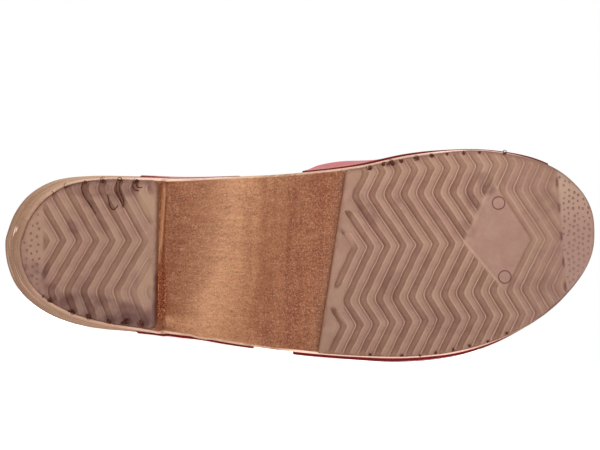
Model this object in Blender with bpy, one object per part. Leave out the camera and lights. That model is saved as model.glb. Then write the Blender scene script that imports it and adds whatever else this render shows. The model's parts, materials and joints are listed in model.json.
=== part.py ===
"""A left open-toed clog: wooden sole, two rubber tread pieces, leather vamp and leather heel strap.

The shoe is modelled in its own frame: x runs from the back of the heel to the toe, y to the
lateral side, z up from the ground that its treads stand on. One empty then lays it on its
lateral side, where sole edge and leather touch the floor, with the treads facing -Y.
"""

import math
from collections import namedtuple

import bmesh
import bpy
import numpy as np
from mathutils import Matrix, Vector

MM = 0.001

# Driving dimensions of the shoe, in millimetres
LENGTH = 263.4
GAP = 0.3
LEATHER = 2.4
RUBBER = 5.0
RUBBER_INSET = 0.6
FORE_INSET = 0.3
RUBBER_TAPER = 0.5
CORNER_ROUND = 3.5
EDGE_ROUND = 1.2
RIM_ROUND = 2.4
RIM_BEVEL = 0.3  # share of the rim's round at which its middle point lies
DISH_POWER = 2.6

HEEL_FRONT = 73.0
BREAST_RISE = 13.0
BREAST_LEAN = 1.4
ARCH_TOP = 26.0
ARCH_POWER = 2.2
# The arch's peak and end lie askew: x on the middle line, and its change for each mm across
ARCH_PEAK = 99.6
ARCH_PEAK_SKEW = -0.27
ARCH_END = 147.0
ARCH_END_SKEW = -0.153
FLAT_END = 205.0
TOE_SPRING = 9.5

# How far the sole's foot lies inside its rim: along the shoe at its ends, and as a share across
HEEL_SET_BACK = 12.0
SET_BACK_START = 30.0
TOE_SET_BACK = 1.0
TOE_SET_BACK_START = 235.0
HEEL_DRAFT_MEDIAL = 0.05
HEEL_DRAFT_LATERAL = 0.088
FORE_DRAFT = 0.022
HEEL_DRAFT_END = 58.0
FORE_DRAFT_START = 103.0

# The wooden sole's rim, a row for each section: plan outline, rim height, depth of the footbed
Section = namedtuple("Section", "x medial lateral rim dish")
SECTIONS = [
    Section(0.0, -3.5, -3.5, 46.5, 0.0),
    Section(1.2, -9.8, 5.8, 46.4, 0.3),
    Section(5.0, -18.9, 14.8, 46.2, 1.4),
    Section(12.0, -27.0, 22.6, 45.9, 2.6),
    Section(23.0, -32.7, 29.2, 45.3, 3.2),
    Section(38.0, -34.6, 33.5, 44.4, 3.4),
    Section(58.0, -34.5, 35.6, 43.0, 3.0),
    Section(82.0, -33.7, 37.4, 40.2, 1.8),
    Section(108.0, -34.3, 40.9, 35.6, 1.2),
    Section(134.0, -35.6, 43.7, 30.4, 1.4),
    Section(158.0, -38.2, 45.5, 26.8, 2.2),
    Section(180.0, -42.8, 45.9, 25.2, 2.6),
    Section(200.0, -45.1, 43.8, 25.2, 2.2),
    Section(218.0, -44.9, 38.1, 26.4, 1.8),
    Section(234.0, -42.2, 30.3, 28.0, 1.4),
    Section(247.0, -36.8, 21.3, 29.4, 0.9),
    Section(257.0, -28.3, 10.4, 30.4, 0.4),
    Section(262.1, -19.3, 0.6, 31.0, 0.1),
    Section(LENGTH, -9.2, -9.2, 31.1, 0.0),
]

# The vamp over the forefoot: crown above the rim, crown's y, side fullness, squareness
Fore = namedtuple("Fore", "x crown ridge full_medial full_lateral square")
FORE = [
    Fore(128.0, 66.0, -3.0, 0.6, 0.3, 0.95),
    Fore(150.0, 53.0, -4.0, 3.0, 0.5, 0.92),
    Fore(170.0, 43.0, -5.0, 1.6, 0.8, 0.88),
    Fore(190.0, 35.0, -6.5, 0.2, 1.1, 0.82),
    Fore(210.0, 29.0, -8.0, -0.2, 0.9, 0.76),
    Fore(228.0, 25.5, -9.0, -0.2, 0.7, 0.72),
    Fore(246.0, 23.5, -9.5, -0.1, 0.6, 0.70),
]
VAMP_PROUD = {"medial": 0.9, "lateral": 1.5}
VAMP_LIFT = 7.2  # its lower edge above the wood's
VAMP_LEVEL_FROM = 138.0
VAMP_WIDEST = 8.0  # its widest line above the rim
VAMP_WALL = 0.26  # share of each half's grid that stands as the side wall
VAMP_EDGE_POWER = 1.3
VAMP_BACK = {"medial": 131.5, "lateral": 129.5, "crown": 163.0}
VAMP_FRONT = {"medial": 242.0, "lateral": 241.0, "crown": 221.0}
VAMP_ROWS = 26
VAMP_COLUMNS = 34

STRAP_PROUD = 0.6
STRAP_FOOT = {"medial": (62.0, 105.0), "lateral": (61.0, 111.0)}
STRAP_LOW = 29.0
STRAP_LIFT = 3.5
STRAP_HEIGHT = 92.0
STRAP_WIDTH = 19.0
STRAP_TURN_X = 34.0
STRAP_CLIMB = 0.55
STRAP_CENTRE = 48.0
STRAP_NARROWING = 0.16
STRAP_FLARE = 0.385  # share of the quarter turn over which the foot's width falls to the strap's
STRAP_ROWS = 44
STRAP_COLUMNS = 6
CUT_CLEAR = 1.0

FORE_PITCH = 7.02
HEEL_PITCH = 7.1
GROOVE_WIDTH = 3.0
GROOVE_DEPTH = 1.4
GROOVE_REACH = 2.0
# A zigzag groove's bends across the shoe: y, x from its first inner bend, and y's drift toe-wards
Bend = namedtuple("Bend", "y x drift")
FORE_GROOVE = [
    Bend(-52.0, -6.0, -0.065),
    Bend(-34.7, 5.2, -0.065),
    Bend(-24.9, 0.0, -0.044),
    Bend(-2.9, 14.3, -0.044),
    Bend(20.1, 3.3, -0.07),
    Bend(30.6, 9.7, -0.065),
    Bend(52.0, -1.3, -0.065),
]
FORE_GROOVES = range(-2, 13)
FORE_GROOVE_START = 156.7
HEEL_GROOVE = [
    Bend(-42.0, -6.1, 0.0),
    Bend(-28.2, -12.5, 0.0),
    Bend(-5.9, 0.0, 0.0),
    Bend(15.9, -12.8, 0.0),
    Bend(42.0, -2.4, 0.0),
]
HEEL_GROOVES = range(6)
HEEL_GROOVE_START = 31.2
FORE_TREAD_BACK = {"medial": 153.2, "lateral": 141.2}
BACK_MARGIN = 4.0
TOE_PAD_START = 246.0
HEEL_PAD_END = 23.0
HEEL_MARGIN = 1.2
Corner = namedtuple("Corner", "x y")
LABEL = [Corner(204.5, -5.2), Corner(216.6, -31.0), Corner(232.6, -7.2), Corner(222.1, 15.6)]

# Stations and points of the lofts
TIP_START = 0.3
TIP_ROWS = 3.0
TIP_STATIONS = 9
HEEL_STATIONS = 10
ARCH_STATIONS = 12
FORE_STATIONS = 13
FORE_STATIONS_END = 240.0
BREAST_STEPS = (0.8, 2.4, 5.0)
BED_POINTS = 9
TREAD_POINTS = 9
TREAD_STATIONS = 30
TREAD_CROWDING = 0.92
HEEL_TIP_STATIONS = 7
HEEL_TIP_ROWS = 1.6
CORNER_SHARES = (1.0, 0.6, 0.3, 0.1, 0.0)
LINE_STEPS = 40

# A hull facet whose normal points at least this much sideways can be the resting side
SIDEWAYS = 0.8


def clear_scene():
    for old in list(bpy.data.objects):
        bpy.data.objects.remove(old, do_unlink=True)


def material(name, colour, roughness):
    made = bpy.data.materials.new(name)
    made.use_nodes = True
    shader = made.node_tree.nodes["Principled BSDF"]
    shader.inputs["Base Color"].default_value = (*colour, 1.0)
    shader.inputs["Roughness"].default_value = roughness
    shader.inputs["Metallic"].default_value = 0.0
    made.diffuse_color = (*colour, 1.0)
    return made


# ---------------------------------------------------------------- the sole's own functions


def smooth(values, before, after, u):
    """A uniform Catmull-Rom curve through a column of the table, at table position u."""
    padded = np.concatenate(([before], values, [after]))
    row = np.clip(np.floor(u).astype(int), 0, len(values) - 2)
    f = u - row
    a, b, c, d = (padded[row + k] for k in range(4))
    linear = (c - a) * f
    square = (2 * a - 5 * b + 4 * c - d) * f**2
    cubic = (3 * b - a - 3 * c + d) * f**3
    return (2 * b + linear + square + cubic) / 2


def column(name):
    return np.array([getattr(row, name) for row in SECTIONS])


LAST = len(SECTIONS) - 1


def rim_x(u):
    x = column("x")
    return smooth(x, x[1], x[-2], u)


def rim_y(side, u):
    """The rim's y on one side. Each tip's next neighbour is on the other side, so the ends are round."""
    near, far = column(side), column("lateral" if side == "medial" else "medial")
    return smooth(near, far[1], far[-2], u)


def rim_height(u):
    rim = column("rim")
    return smooth(rim, rim[1], rim[-2], u)


def dish_depth(u):
    dish = column("dish")
    return smooth(dish, dish[1], dish[-2], u)


def position_of(x):
    """The table position u whose section lies at x."""
    u = np.linspace(0, LAST, LINE_STEPS * LAST + 1)
    return np.interp(x, rim_x(u), u)


def ease(low, high, x):
    t = np.clip((x - low) / (high - low), 0.0, 1.0)
    return t * t * (3 - 2 * t)


def toe_spring(x):
    """How far the ground face has risen at x towards the toe."""
    return TOE_SPRING * (np.clip(np.asarray(x, float) - FLAT_END, 0, None) / (LENGTH - FLAT_END)) ** 2


def underside(x, y):
    """Height of the wood's lower face: flat heel, breast, skewed arch, flat forefoot and toe spring."""
    ground = RUBBER + GAP
    head = HEEL_FRONT + BREAST_LEAN
    peak = ARCH_PEAK + ARCH_PEAK_SKEW * y
    end = ARCH_END + ARCH_END_SKEW * y
    breast = BREAST_RISE * np.clip((x - HEEL_FRONT) / BREAST_LEAN, 0, 1)
    climb = np.clip((x - head) / (peak - head), 0, 1)
    climb = (ARCH_TOP - ground - BREAST_RISE) * (1 - (1 - climb) ** ARCH_POWER)
    fall = np.clip((x - peak) / (end - peak), 0, 1)
    fall = (1 + np.cos(math.pi * fall)) / 2
    return ground + np.where(x < peak, breast + climb, (ARCH_TOP - ground) * fall + toe_spring(x))


def side_point(side, u, share, inset=0.0):
    """Plan position on the sole's side: share 0 at its foot, 1 at its rim, moved in by inset."""
    sign = -1.0 if side == "medial" else 1.0
    step = 1e-3
    run = rim_x(u + step) - rim_x(u - step)
    rise = rim_y(side, u + step) - rim_y(side, u - step)
    length = np.hypot(run, rise)
    out_x, out_y = -sign * rise / length, sign * run / length
    x, y = rim_x(u), rim_y(side, u)
    heel = 1 - ease(SET_BACK_START, HEEL_FRONT, x)
    heel_draft = HEEL_DRAFT_MEDIAL if side == "medial" else HEEL_DRAFT_LATERAL
    draft = FORE_DRAFT + (heel_draft - FORE_DRAFT) * (1 - ease(HEEL_DRAFT_END, FORE_DRAFT_START, x))
    foot_x = x + HEEL_SET_BACK * heel - TOE_SET_BACK * ease(TOE_SET_BACK_START, LENGTH, x)
    foot_y = y * (1 - draft)
    px = foot_x + (x - foot_x) * share - inset * out_x
    py = foot_y + (y - foot_y) * share - inset * out_y
    return px, py


# ---------------------------------------------------------------- meshes


def new_object(name, vertices, faces, finish, parent):
    mesh = bpy.data.meshes.new(name)
    mesh.from_pydata([tuple(v) for v in np.asarray(vertices) * MM], [], faces)
    work = bmesh.new()
    work.from_mesh(mesh)
    bmesh.ops.triangulate(work, faces=work.faces[:])
    bmesh.ops.recalc_face_normals(work, faces=work.faces[:])
    if work.calc_volume(signed=True) < 0:
        bmesh.ops.reverse_faces(work, faces=work.faces[:])
    work.to_mesh(mesh)
    work.free()
    made = bpy.data.objects.new(name, mesh)
    bpy.context.scene.collection.objects.link(made)
    mesh.materials.append(finish)
    mesh.shade_smooth()
    mesh.set_sharp_from_angle(angle=math.radians(35))
    made.parent = parent
    return made


def as_cutter(made):
    made.hide_render = True
    made.display_type = "WIRE"
    return made


def cut(target, cutter):
    boolean = target.modifiers.new("cut_" + cutter.name, "BOOLEAN")
    boolean.operation = "DIFFERENCE"
    boolean.solver = "EXACT"
    boolean.object = cutter


def loft(sections):
    """Vertices and faces of a solid through closed sections of equal point count."""
    count, around = len(sections), len(sections[0])
    vertices = np.concatenate(sections)
    faces = [tuple(reversed(range(around)))]
    faces.append(tuple(range((count - 1) * around, count * around)))
    for i in range(count - 1):
        for j in range(around):
            k = (j + 1) % around
            faces.append((i * around + j, i * around + k, (i + 1) * around + k, (i + 1) * around + j))
    return vertices, faces


def shell(surface, outwards, inwards):
    """A closed sheet: a grid of points thickened by these distances along its own normals."""
    along = np.gradient(surface, axis=0)
    across = np.gradient(surface, axis=1)
    normal = np.cross(along, across)
    normal /= np.linalg.norm(normal, axis=2, keepdims=True)
    if (normal * (surface - surface.mean(axis=(0, 1)))).sum() < 0:
        normal = -normal
    rows, columns = surface.shape[:2]
    outer = (surface + normal * outwards).reshape(-1, 3)
    inner = (surface - normal * inwards).reshape(-1, 3)
    half = rows * columns
    faces = []
    for i in range(rows - 1):
        for j in range(columns - 1):
            a, b = i * columns + j, i * columns + j + 1
            c, d = b + columns, a + columns
            faces.append((a, d, c, b))
            faces.append((half + a, half + b, half + c, half + d))
    edge = [j for j in range(columns)]
    edge += [i * columns + columns - 1 for i in range(1, rows)]
    edge += [(rows - 1) * columns + j for j in range(columns - 2, -1, -1)]
    edge += [i * columns for i in range(rows - 2, 0, -1)]
    for first, second in zip(edge, edge[1:] + edge[:1]):
        faces.append((first, second, half + second, half + first))
    return np.concatenate((outer, inner)), faces


# ---------------------------------------------------------------- the pieces


def sole_stations():
    """Table positions of the wooden sole's sections, close together at its tips and the breast."""
    head = HEEL_FRONT + BREAST_LEAN
    steps = [HEEL_FRONT, head, *(head + step for step in BREAST_STEPS)]
    spacing = (ARCH_END - steps[-1]) / ARCH_STATIONS
    return np.concatenate(
        (
            np.linspace(TIP_START, TIP_ROWS, TIP_STATIONS),
            position_of(np.linspace(SECTIONS[3].x + EDGE_ROUND, HEEL_FRONT - EDGE_ROUND, HEEL_STATIONS)),
            position_of(np.array(steps)),
            position_of(np.linspace(steps[-1] + spacing, ARCH_END, ARCH_STATIONS)),
            position_of(np.linspace(ARCH_END + spacing, FORE_STATIONS_END, FORE_STATIONS)),
            np.linspace(LAST - TIP_ROWS, LAST - TIP_START, TIP_STATIONS),
        )
    )


def side_profile(name, u):
    """One side of the wooden sole's section, from the underside's edge over the rim to the footbed."""
    low = float(edge_height(name, u))
    top = float(rim_height(u))
    rise = top - RIM_ROUND - low
    bevel = RIM_ROUND * RIM_BEVEL
    return [
        (*side_point(name, u, 0.0, EDGE_ROUND), low),
        (*side_point(name, u, EDGE_ROUND / rise), low + EDGE_ROUND),
        (*side_point(name, u, 0.5), low + rise / 2),
        (*side_point(name, u, 1.0), low + rise),
        (*side_point(name, u, 1.0, bevel), top - bevel),
        (*side_point(name, u, 1.0, RIM_ROUND), top),
    ]


def sole_section(u):
    """The wooden sole's closed section at table position u."""
    medial = np.array(side_profile("medial", u), float)
    lateral = np.array(side_profile("lateral", u), float)
    under = []
    for share in (0.25, 0.5, 0.75):
        x, y, _ = medial[0] + (lateral[0] - medial[0]) * share
        under.append((x, y, float(underside(x, y))))
    depth = float(dish_depth(u))
    bed = []
    for share in np.linspace(0, 1, BED_POINTS + 2)[1:-1]:
        x, y, z = lateral[-1] + (medial[-1] - lateral[-1]) * share
        bed.append((x, y, z - depth * (1 - abs(2 * share - 1) ** DISH_POWER)))
    return np.concatenate((medial[:1], under, lateral, bed, medial[:0:-1]))


def make_sole(finish, parent):
    sections = [sole_section(u) for u in sole_stations()]
    sole = new_object("wood_sole", *loft(sections), finish, parent)
    cut(sole, make_vamp_seat(finish, parent))
    cut(sole, make_strap_seat(finish, parent))
    return sole


def tread_section(medial, lateral, inset):
    """A tread's closed section between table positions on the two sides, inset at its upper edge."""
    low_inset = inset + RUBBER_TAPER
    lower = side_point("medial", medial, 0.0, low_inset), side_point("lateral", lateral, 0.0, low_inset)
    upper = side_point("lateral", lateral, 0.0, inset), side_point("medial", medial, 0.0, inset)
    points = []
    for (start, end), drop in ((lower, -RUBBER), (upper, 0.0)):
        for share in np.linspace(0, 1, TREAD_POINTS):
            x = start[0] + (end[0] - start[0]) * share
            y = start[1] + (end[1] - start[1]) * share
            points.append((x, y, float(tread_top(x)) + drop))
    return np.array(points, float)


def tread_top(x):
    """Height of the upper face of a tread, just under the wood."""
    return RUBBER + toe_spring(x)


def make_heel_tread(finish, parent):
    front = HEEL_FRONT - RUBBER_INSET
    corner = front - CORNER_ROUND * np.array(CORNER_SHARES)
    spread = np.linspace(SECTIONS[3].x + CORNER_ROUND, corner[0] - CORNER_ROUND, HEEL_STATIONS)
    tip = np.linspace(TIP_START, HEEL_TIP_ROWS, HEEL_TIP_STATIONS)
    sections = []
    for u in np.concatenate((tip, foot_position("medial", np.concatenate((spread, corner))))):
        into = CORNER_ROUND - (front - float(side_point("medial", u, 0.0)[0]))
        into = min(max(into, 0.0), CORNER_ROUND)
        inset = CORNER_ROUND - math.sqrt(CORNER_ROUND**2 - into**2)
        sections.append(tread_section(u, u, RUBBER_INSET + inset))
    rubber = new_object("heel_rubber", *loft(sections), finish, parent)
    limits = (lambda y: HEEL_PAD_END), (lambda y: front - HEEL_MARGIN - GROOVE_WIDTH / 2)
    runs = all_runs(HEEL_GROOVE, HEEL_GROOVES, HEEL_GROOVE_START, HEEL_PITCH, limits)
    cut(rubber, make_grooves("heel_grooves", runs, finish, parent))
    return rubber


def edge_height(side, u):
    """Height of the wood's lower edge on one side at table position u."""
    return underside(*side_point(side, u, 0.0))


def foot_position(side, x):
    """The table position whose foot point lies at x."""
    u = np.linspace(0, LAST, LINE_STEPS * LAST + 1)
    return np.interp(x, side_point(side, u, 0.0)[0], u)


def make_fore_tread(finish, parent):
    back_m = float(foot_position("medial", FORE_TREAD_BACK["medial"]))
    back_l = float(foot_position("lateral", FORE_TREAD_BACK["lateral"]))
    end = LAST - TIP_START
    sections = []
    for share in np.linspace(0, 1, TREAD_STATIONS) ** TREAD_CROWDING:
        medial = back_m + (end - back_m) * share
        lateral = back_l + (end - back_l) * share
        sections.append(tread_section(medial, lateral, FORE_INSET))
    rubber = new_object("forefoot_rubber", *loft(sections), finish, parent)
    limits = (lambda y: fore_back_edge(y) + BACK_MARGIN), (lambda y: TOE_PAD_START)
    runs = all_runs(FORE_GROOVE, FORE_GROOVES, FORE_GROOVE_START, FORE_PITCH, limits)
    grooves = make_grooves("fore_grooves", runs, finish, parent)
    cut(grooves, make_label_island(finish, parent))
    cut(rubber, grooves)
    return rubber


def all_runs(bends, numbers, start, pitch, limits):
    """Every stretch of a tread's grooves, each shifted along the shoe by its number of pitches."""
    return [run for number in numbers for run in groove_runs(bends, start + number * pitch, limits)]


def groove_runs(bends, shift, limits):
    """The stretches of one zigzag groove between two limits, each giving an x for every y."""
    line = [(bend.x + shift, bend.y + bend.drift * (bend.x + shift - FORE_GROOVE_START)) for bend in bends]
    least, most = limits
    runs, run = [], []
    for (x0, y0), (x1, y1) in zip(line, line[1:]):
        for share in np.linspace(0, 1, LINE_STEPS + 1):
            x, y = x0 + (x1 - x0) * share, y0 + (y1 - y0) * share
            if least(y) <= x <= most(y):
                if not run or share in (0.0, 1.0):
                    run.append((x, y))
                end = (x, y)
            elif run:
                runs.append(run + [end])
                run = []
    if run:
        runs.append(run)
    return [clean for clean in map(without_repeats, runs) if len(clean) > 1]


def without_repeats(run):
    """The run without points under half a groove's width from the one before."""
    kept = [run[0]]
    for point in run[1:]:
        if math.dist(point, kept[-1]) > GROOVE_WIDTH / 2:
            kept.append(point)
    return kept


def ribbon(run):
    """Closed sections along a groove's run, from under the tread up to the groove's floor."""
    half = GROOVE_WIDTH / 2
    corners = [(-half, -GROOVE_REACH), (half, -GROOVE_REACH), (half, GROOVE_DEPTH), (-half, GROOVE_DEPTH)]
    return [
        np.array([(x + across, y, float(tread_top(x + across)) - RUBBER + up) for across, up in corners])
        for x, y in run
    ]


def make_grooves(name, runs, finish, parent):
    """All the grooves of one tread as a single cutter of separate ribbons."""
    vertices, faces = [], []
    for run in runs:
        points, polygons = loft(ribbon(run))
        offset = len(vertices)
        vertices.extend(points)
        faces.extend(tuple(i + offset for i in polygon) for polygon in polygons)
    return as_cutter(new_object(name, vertices, faces, finish, parent))


def fore_back_edge(y):
    """x of the forefoot tread's back edge, a straight line from side to side."""
    ends = []
    for side in ("medial", "lateral"):
        x = FORE_TREAD_BACK[side]
        ends.append((x, float(side_point(side, foot_position(side, x), 0.0)[1])))
    (x0, y0), (x1, y1) = ends
    return x0 + (x1 - x0) * (y - y0) / (y1 - y0)


def make_label_island(finish, parent):
    """The lozenge of the forefoot tread that its grooves leave plain."""
    heights = (-2 * GROOVE_REACH, 2 * RUBBER)
    outlines = [np.array([(corner.x, corner.y, height) for corner in LABEL]) for height in heights]
    return as_cutter(new_object("label_island", *loft(outlines), finish, parent))


def fore_value(name, x):
    rows = np.array([row.x for row in FORE])
    return np.interp(x, rows, [getattr(row, name) for row in FORE])


def vamp_point(x, v, lower=0.0):
    """Outer face of the vamp at x along the shoe and v across it, -1 medial edge to 1 lateral."""
    u = position_of(x)
    top = rim_height(u)
    foot = np.where(v < 0, side_point("medial", u, 0.0)[1], side_point("lateral", u, 0.0)[1])
    low = underside(np.maximum(x, VAMP_LEVEL_FROM), foot) + VAMP_LIFT - lower
    widest = top + VAMP_WIDEST
    crown = top + fore_value("crown", x)
    ridge = fore_value("ridge", x)
    medial = v < 0
    full = np.where(medial, fore_value("full_medial", x), fore_value("full_lateral", x))
    sign = np.where(medial, -1.0, 1.0)
    rim = np.where(medial, rim_y("medial", u), rim_y("lateral", u))
    wood_low = underside(x, foot)
    wall = np.clip((np.abs(v) - (1 - VAMP_WALL)) / VAMP_WALL, 0, 1)
    height = low + (widest - low) * (1 - wall)
    slope = (rim - foot) / (top - wood_low)
    at_height = np.where(height < top, foot + slope * (height - wood_low), rim)
    bulge = full * ease(low, widest, height)
    proud = np.where(medial, VAMP_PROUD["medial"], VAMP_PROUD["lateral"])
    wall_y = at_height + sign * (proud + bulge)
    edge_y = rim + sign * (proud + full)
    angle = np.clip(1 - np.abs(v) / (1 - VAMP_WALL), 0, 1) * math.pi / 2
    square = fore_value("square", x)
    arch_y = ridge + (edge_y - ridge) * np.cos(angle) ** square
    arch_z = widest + (crown - widest) * np.sin(angle) ** square
    on_wall = wall > 0
    y = np.where(on_wall, wall_y, arch_y)
    z = np.where(on_wall, height, arch_z)
    return np.stack((x, y, z), axis=-1)


def vamp_surface(margin=0.0):
    """The vamp's outer face as a grid from throat to toe opening and from edge to edge."""
    v = np.linspace(-1, 1, VAMP_COLUMNS + 1)
    over = np.cos(v * math.pi / 2) ** VAMP_EDGE_POWER
    share = (v + 1) / 2
    back = VAMP_BACK["medial"] * (1 - share) + VAMP_BACK["lateral"] * share
    back = back + (VAMP_BACK["crown"] - back) * over - margin
    front = VAMP_FRONT["medial"] * (1 - share) + VAMP_FRONT["lateral"] * share
    front = front + (VAMP_FRONT["crown"] - front) * over + margin
    t = np.linspace(0, 1, VAMP_ROWS + 1)[:, None]
    x = back[None, :] + (front - back)[None, :] * t
    return vamp_point(x, np.broadcast_to(v[None, :], x.shape), margin)


def make_vamp(finish, parent):
    return new_object("upper_vamp", *shell(vamp_surface(), 0.0, LEATHER), finish, parent)


def make_vamp_seat(finish, parent):
    """The vamp's own shape, larger by the gap: it cuts the rabbet that the leather lies in."""
    points, faces = shell(vamp_surface(GAP), CUT_CLEAR, LEATHER + GAP)
    return as_cutter(new_object("vamp_seat", points, faces, finish, parent))


def rim_length(side):
    """Table positions along one side of the rim, and their distance from the back of the heel."""
    u = np.linspace(0, LAST / 2, LINE_STEPS * LAST)
    x, y = side_point(side, u + 1e-3, 1.0, -STRAP_PROUD)
    run = np.concatenate(([0.0], np.cumsum(np.hypot(np.diff(x), np.diff(y)))))
    return u, run


def strap_point(side, run, height, table):
    """The strap's outer face at a distance round the heel and a height, drawn in above the rim."""
    u = float(np.interp(run, table[1], table[0])) + 1e-3
    top = float(rim_height(u)) - RIM_ROUND
    low = float(edge_height(side, u))
    share = min(max((height - low) / (top - low), 0.0), 1.0)
    x, y = side_point(side, u, share, -STRAP_PROUD)
    narrow = 1 - STRAP_NARROWING * float(ease(top, STRAP_HEIGHT, height))
    return STRAP_CENTRE + (float(x) - STRAP_CENTRE) * narrow, float(y) * narrow, height


def strap_foot_height(side, run, table):
    """Height of the strap's lower edge: level beside the heel, then along the arch."""
    u = float(np.interp(run, table[1], table[0])) + 1e-3
    x, y = side_point(side, u, 0.0)
    peak = ARCH_PEAK + ARCH_PEAK_SKEW * float(y)
    return min(STRAP_LOW, float(underside(max(float(x), peak), float(y))) + STRAP_LIFT)


def strap_surface(margin=0.0):
    """The strap's outer face: up one side, round behind the heel and down the other side."""
    tables = {side: rim_length(side) for side in ("medial", "lateral")}
    steps = np.linspace(-1, 1, STRAP_ROWS + 1)
    shares = np.linspace(-0.5, 0.5, STRAP_COLUMNS + 1)
    surface = np.zeros((len(steps), len(shares), 3))
    for i, step in enumerate(steps):
        side = "medial" if step < 0 else "lateral"
        table = tables[side]
        u, run = table
        ends = np.interp(STRAP_FOOT[side], side_point(side, u, 1.0)[0], run)
        turn_run = float(np.interp(STRAP_TURN_X, side_point(side, u, 1.0)[0], run))
        foot_run, foot_width = ends.mean(), ends[1] - ends[0]
        climb = min((1 - abs(step)) / STRAP_CLIMB, 1.0) * math.pi / 2
        back = max((1 - abs(step) - STRAP_CLIMB) / (1 - STRAP_CLIMB), 0.0)
        place = (turn_run + (foot_run - turn_run) * math.cos(climb)) * (1 - back)
        rise = STRAP_HEIGHT - STRAP_LOW
        height = STRAP_LOW - (margin if abs(step) == 1 else 0.0) + rise * math.sin(climb)
        slope = Vector((-(foot_run - turn_run) * math.sin(climb), rise * math.cos(climb))).normalized()
        flare = 1 - float(ease(0, STRAP_FLARE * math.pi, climb))
        width = STRAP_WIDTH + (foot_width - STRAP_WIDTH) * flare
        for j, share in enumerate(shares):
            offset = share * (width + 2 * margin)
            run_here = place + offset * slope.y
            drop = (STRAP_LOW - strap_foot_height(side, run_here, table)) * math.cos(climb) ** 2
            surface[i, j] = strap_point(side, run_here, height - offset * slope.x - drop, table)
    return surface


def make_strap(finish, parent):
    return new_object("heel_strap", *shell(strap_surface(), 0.0, LEATHER), finish, parent)


def make_strap_seat(finish, parent):
    """The strap's own shape, larger by the gap: it cuts the rabbet that the strap's feet lie in."""
    points, faces = shell(strap_surface(GAP), CUT_CLEAR, LEATHER + GAP)
    return as_cutter(new_object("strap_seat", points, faces, finish, parent))


# ---------------------------------------------------------------- the resting pose


def evaluated(pieces):
    """Every piece's points and triangles with its cuts made, in the shoe's own frame, in metres."""
    graph = bpy.context.evaluated_depsgraph_get()
    found = []
    for piece in pieces:
        mesh = piece.evaluated_get(graph).to_mesh()
        mesh.calc_loop_triangles()
        points = np.array([vertex.co[:] for vertex in mesh.vertices])
        triangles = np.array([triangle.vertices[:] for triangle in mesh.loop_triangles])
        found.append((points, triangles))
    return found


def centre_of(solids):
    """The centroid of the solids' volume, summed over the tetrahedra from the origin."""
    volume, moment = 0.0, np.zeros(3)
    for points, triangles in solids:
        a, b, c = (points[triangles[:, k]] for k in range(3))
        part = np.einsum("ij,ij->i", a, np.cross(b, c)) / 6
        volume += part.sum()
        moment += ((a + b + c) / 4 * part[:, None]).sum(axis=0)
    return Vector(moment / volume)


def resting_side(solids):
    """Outward normal of the hull's lateral facet that the shoe's centre stands over."""
    hull = bmesh.new()
    for points, _ in solids:
        for point in points:
            hull.verts.new(point)
    bmesh.ops.convex_hull(hull, input=hull.verts[:], use_existing_faces=False)
    bmesh.ops.recalc_face_normals(hull, faces=hull.faces[:])
    centre = centre_of(solids)
    best, best_inside = None, -math.inf
    for face in hull.faces:
        if face.normal.y < SIDEWAYS:
            continue
        foot = centre - face.normal * (centre - face.verts[0].co).dot(face.normal)
        corners = [vertex.co for vertex in face.verts]
        inside = math.inf
        for first, second in zip(corners, corners[1:] + corners[:1]):
            inwards = face.normal.cross(second - first).normalized()
            inside = min(inside, (foot - first).dot(inwards))
        if inside > best_inside:
            best, best_inside = face.normal.copy(), inside
    hull.free()
    return best


def lay_down(lying, pieces):
    """Turns and lowers the empty: lateral side on the floor, treads to -Y, box centred over the origin."""
    solids = evaluated(pieces)
    up = -resting_side(solids)
    upper = Vector((0.0, 0.0, 1.0))
    back = (upper - up * upper.dot(up)).normalized()
    along = back.cross(up)
    turn = Matrix((along, back, up))
    points = np.concatenate([found for found, _ in solids]) @ np.array(turn).T
    low, high = points.min(axis=0), points.max(axis=0)
    move = Vector((-(low[0] + high[0]) / 2, -(low[1] + high[1]) / 2, -low[2]))
    lying.matrix_world = Matrix.Translation(move) @ turn.to_4x4()


def main():
    clear_scene()
    lying = bpy.data.objects.new("lying_shoe", None)
    bpy.context.scene.collection.objects.link(lying)
    wood = material("wood", (0.48, 0.26, 0.15), 0.55)
    rubber = material("rubber", (0.34, 0.21, 0.16), 0.45)
    leather = material("leather", (0.42, 0.03, 0.05), 0.4)
    pieces = [
        make_sole(wood, lying),
        make_heel_tread(rubber, lying),
        make_fore_tread(rubber, lying),
        make_vamp(leather, lying),
        make_strap(leather, lying),
    ]
    lay_down(lying, pieces)


main()
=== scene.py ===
"""The look of a left open-toed clog: wooden sole, moulded rubber treads, leather vamp and heel strap.

Sizes are millimetres in the shoe's own frame: x from the back of the heel to the toe, y to the
lateral side, z up from the ground that the treads stand on. Standing turns them into the row's metres.
"""

from __future__ import annotations

import json
import logging
import math
from collections.abc import Callable
from dataclasses import dataclass, field
from enum import Enum

import bmesh
import bpy
import numpy as np
from mathutils import Matrix, Vector

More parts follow.
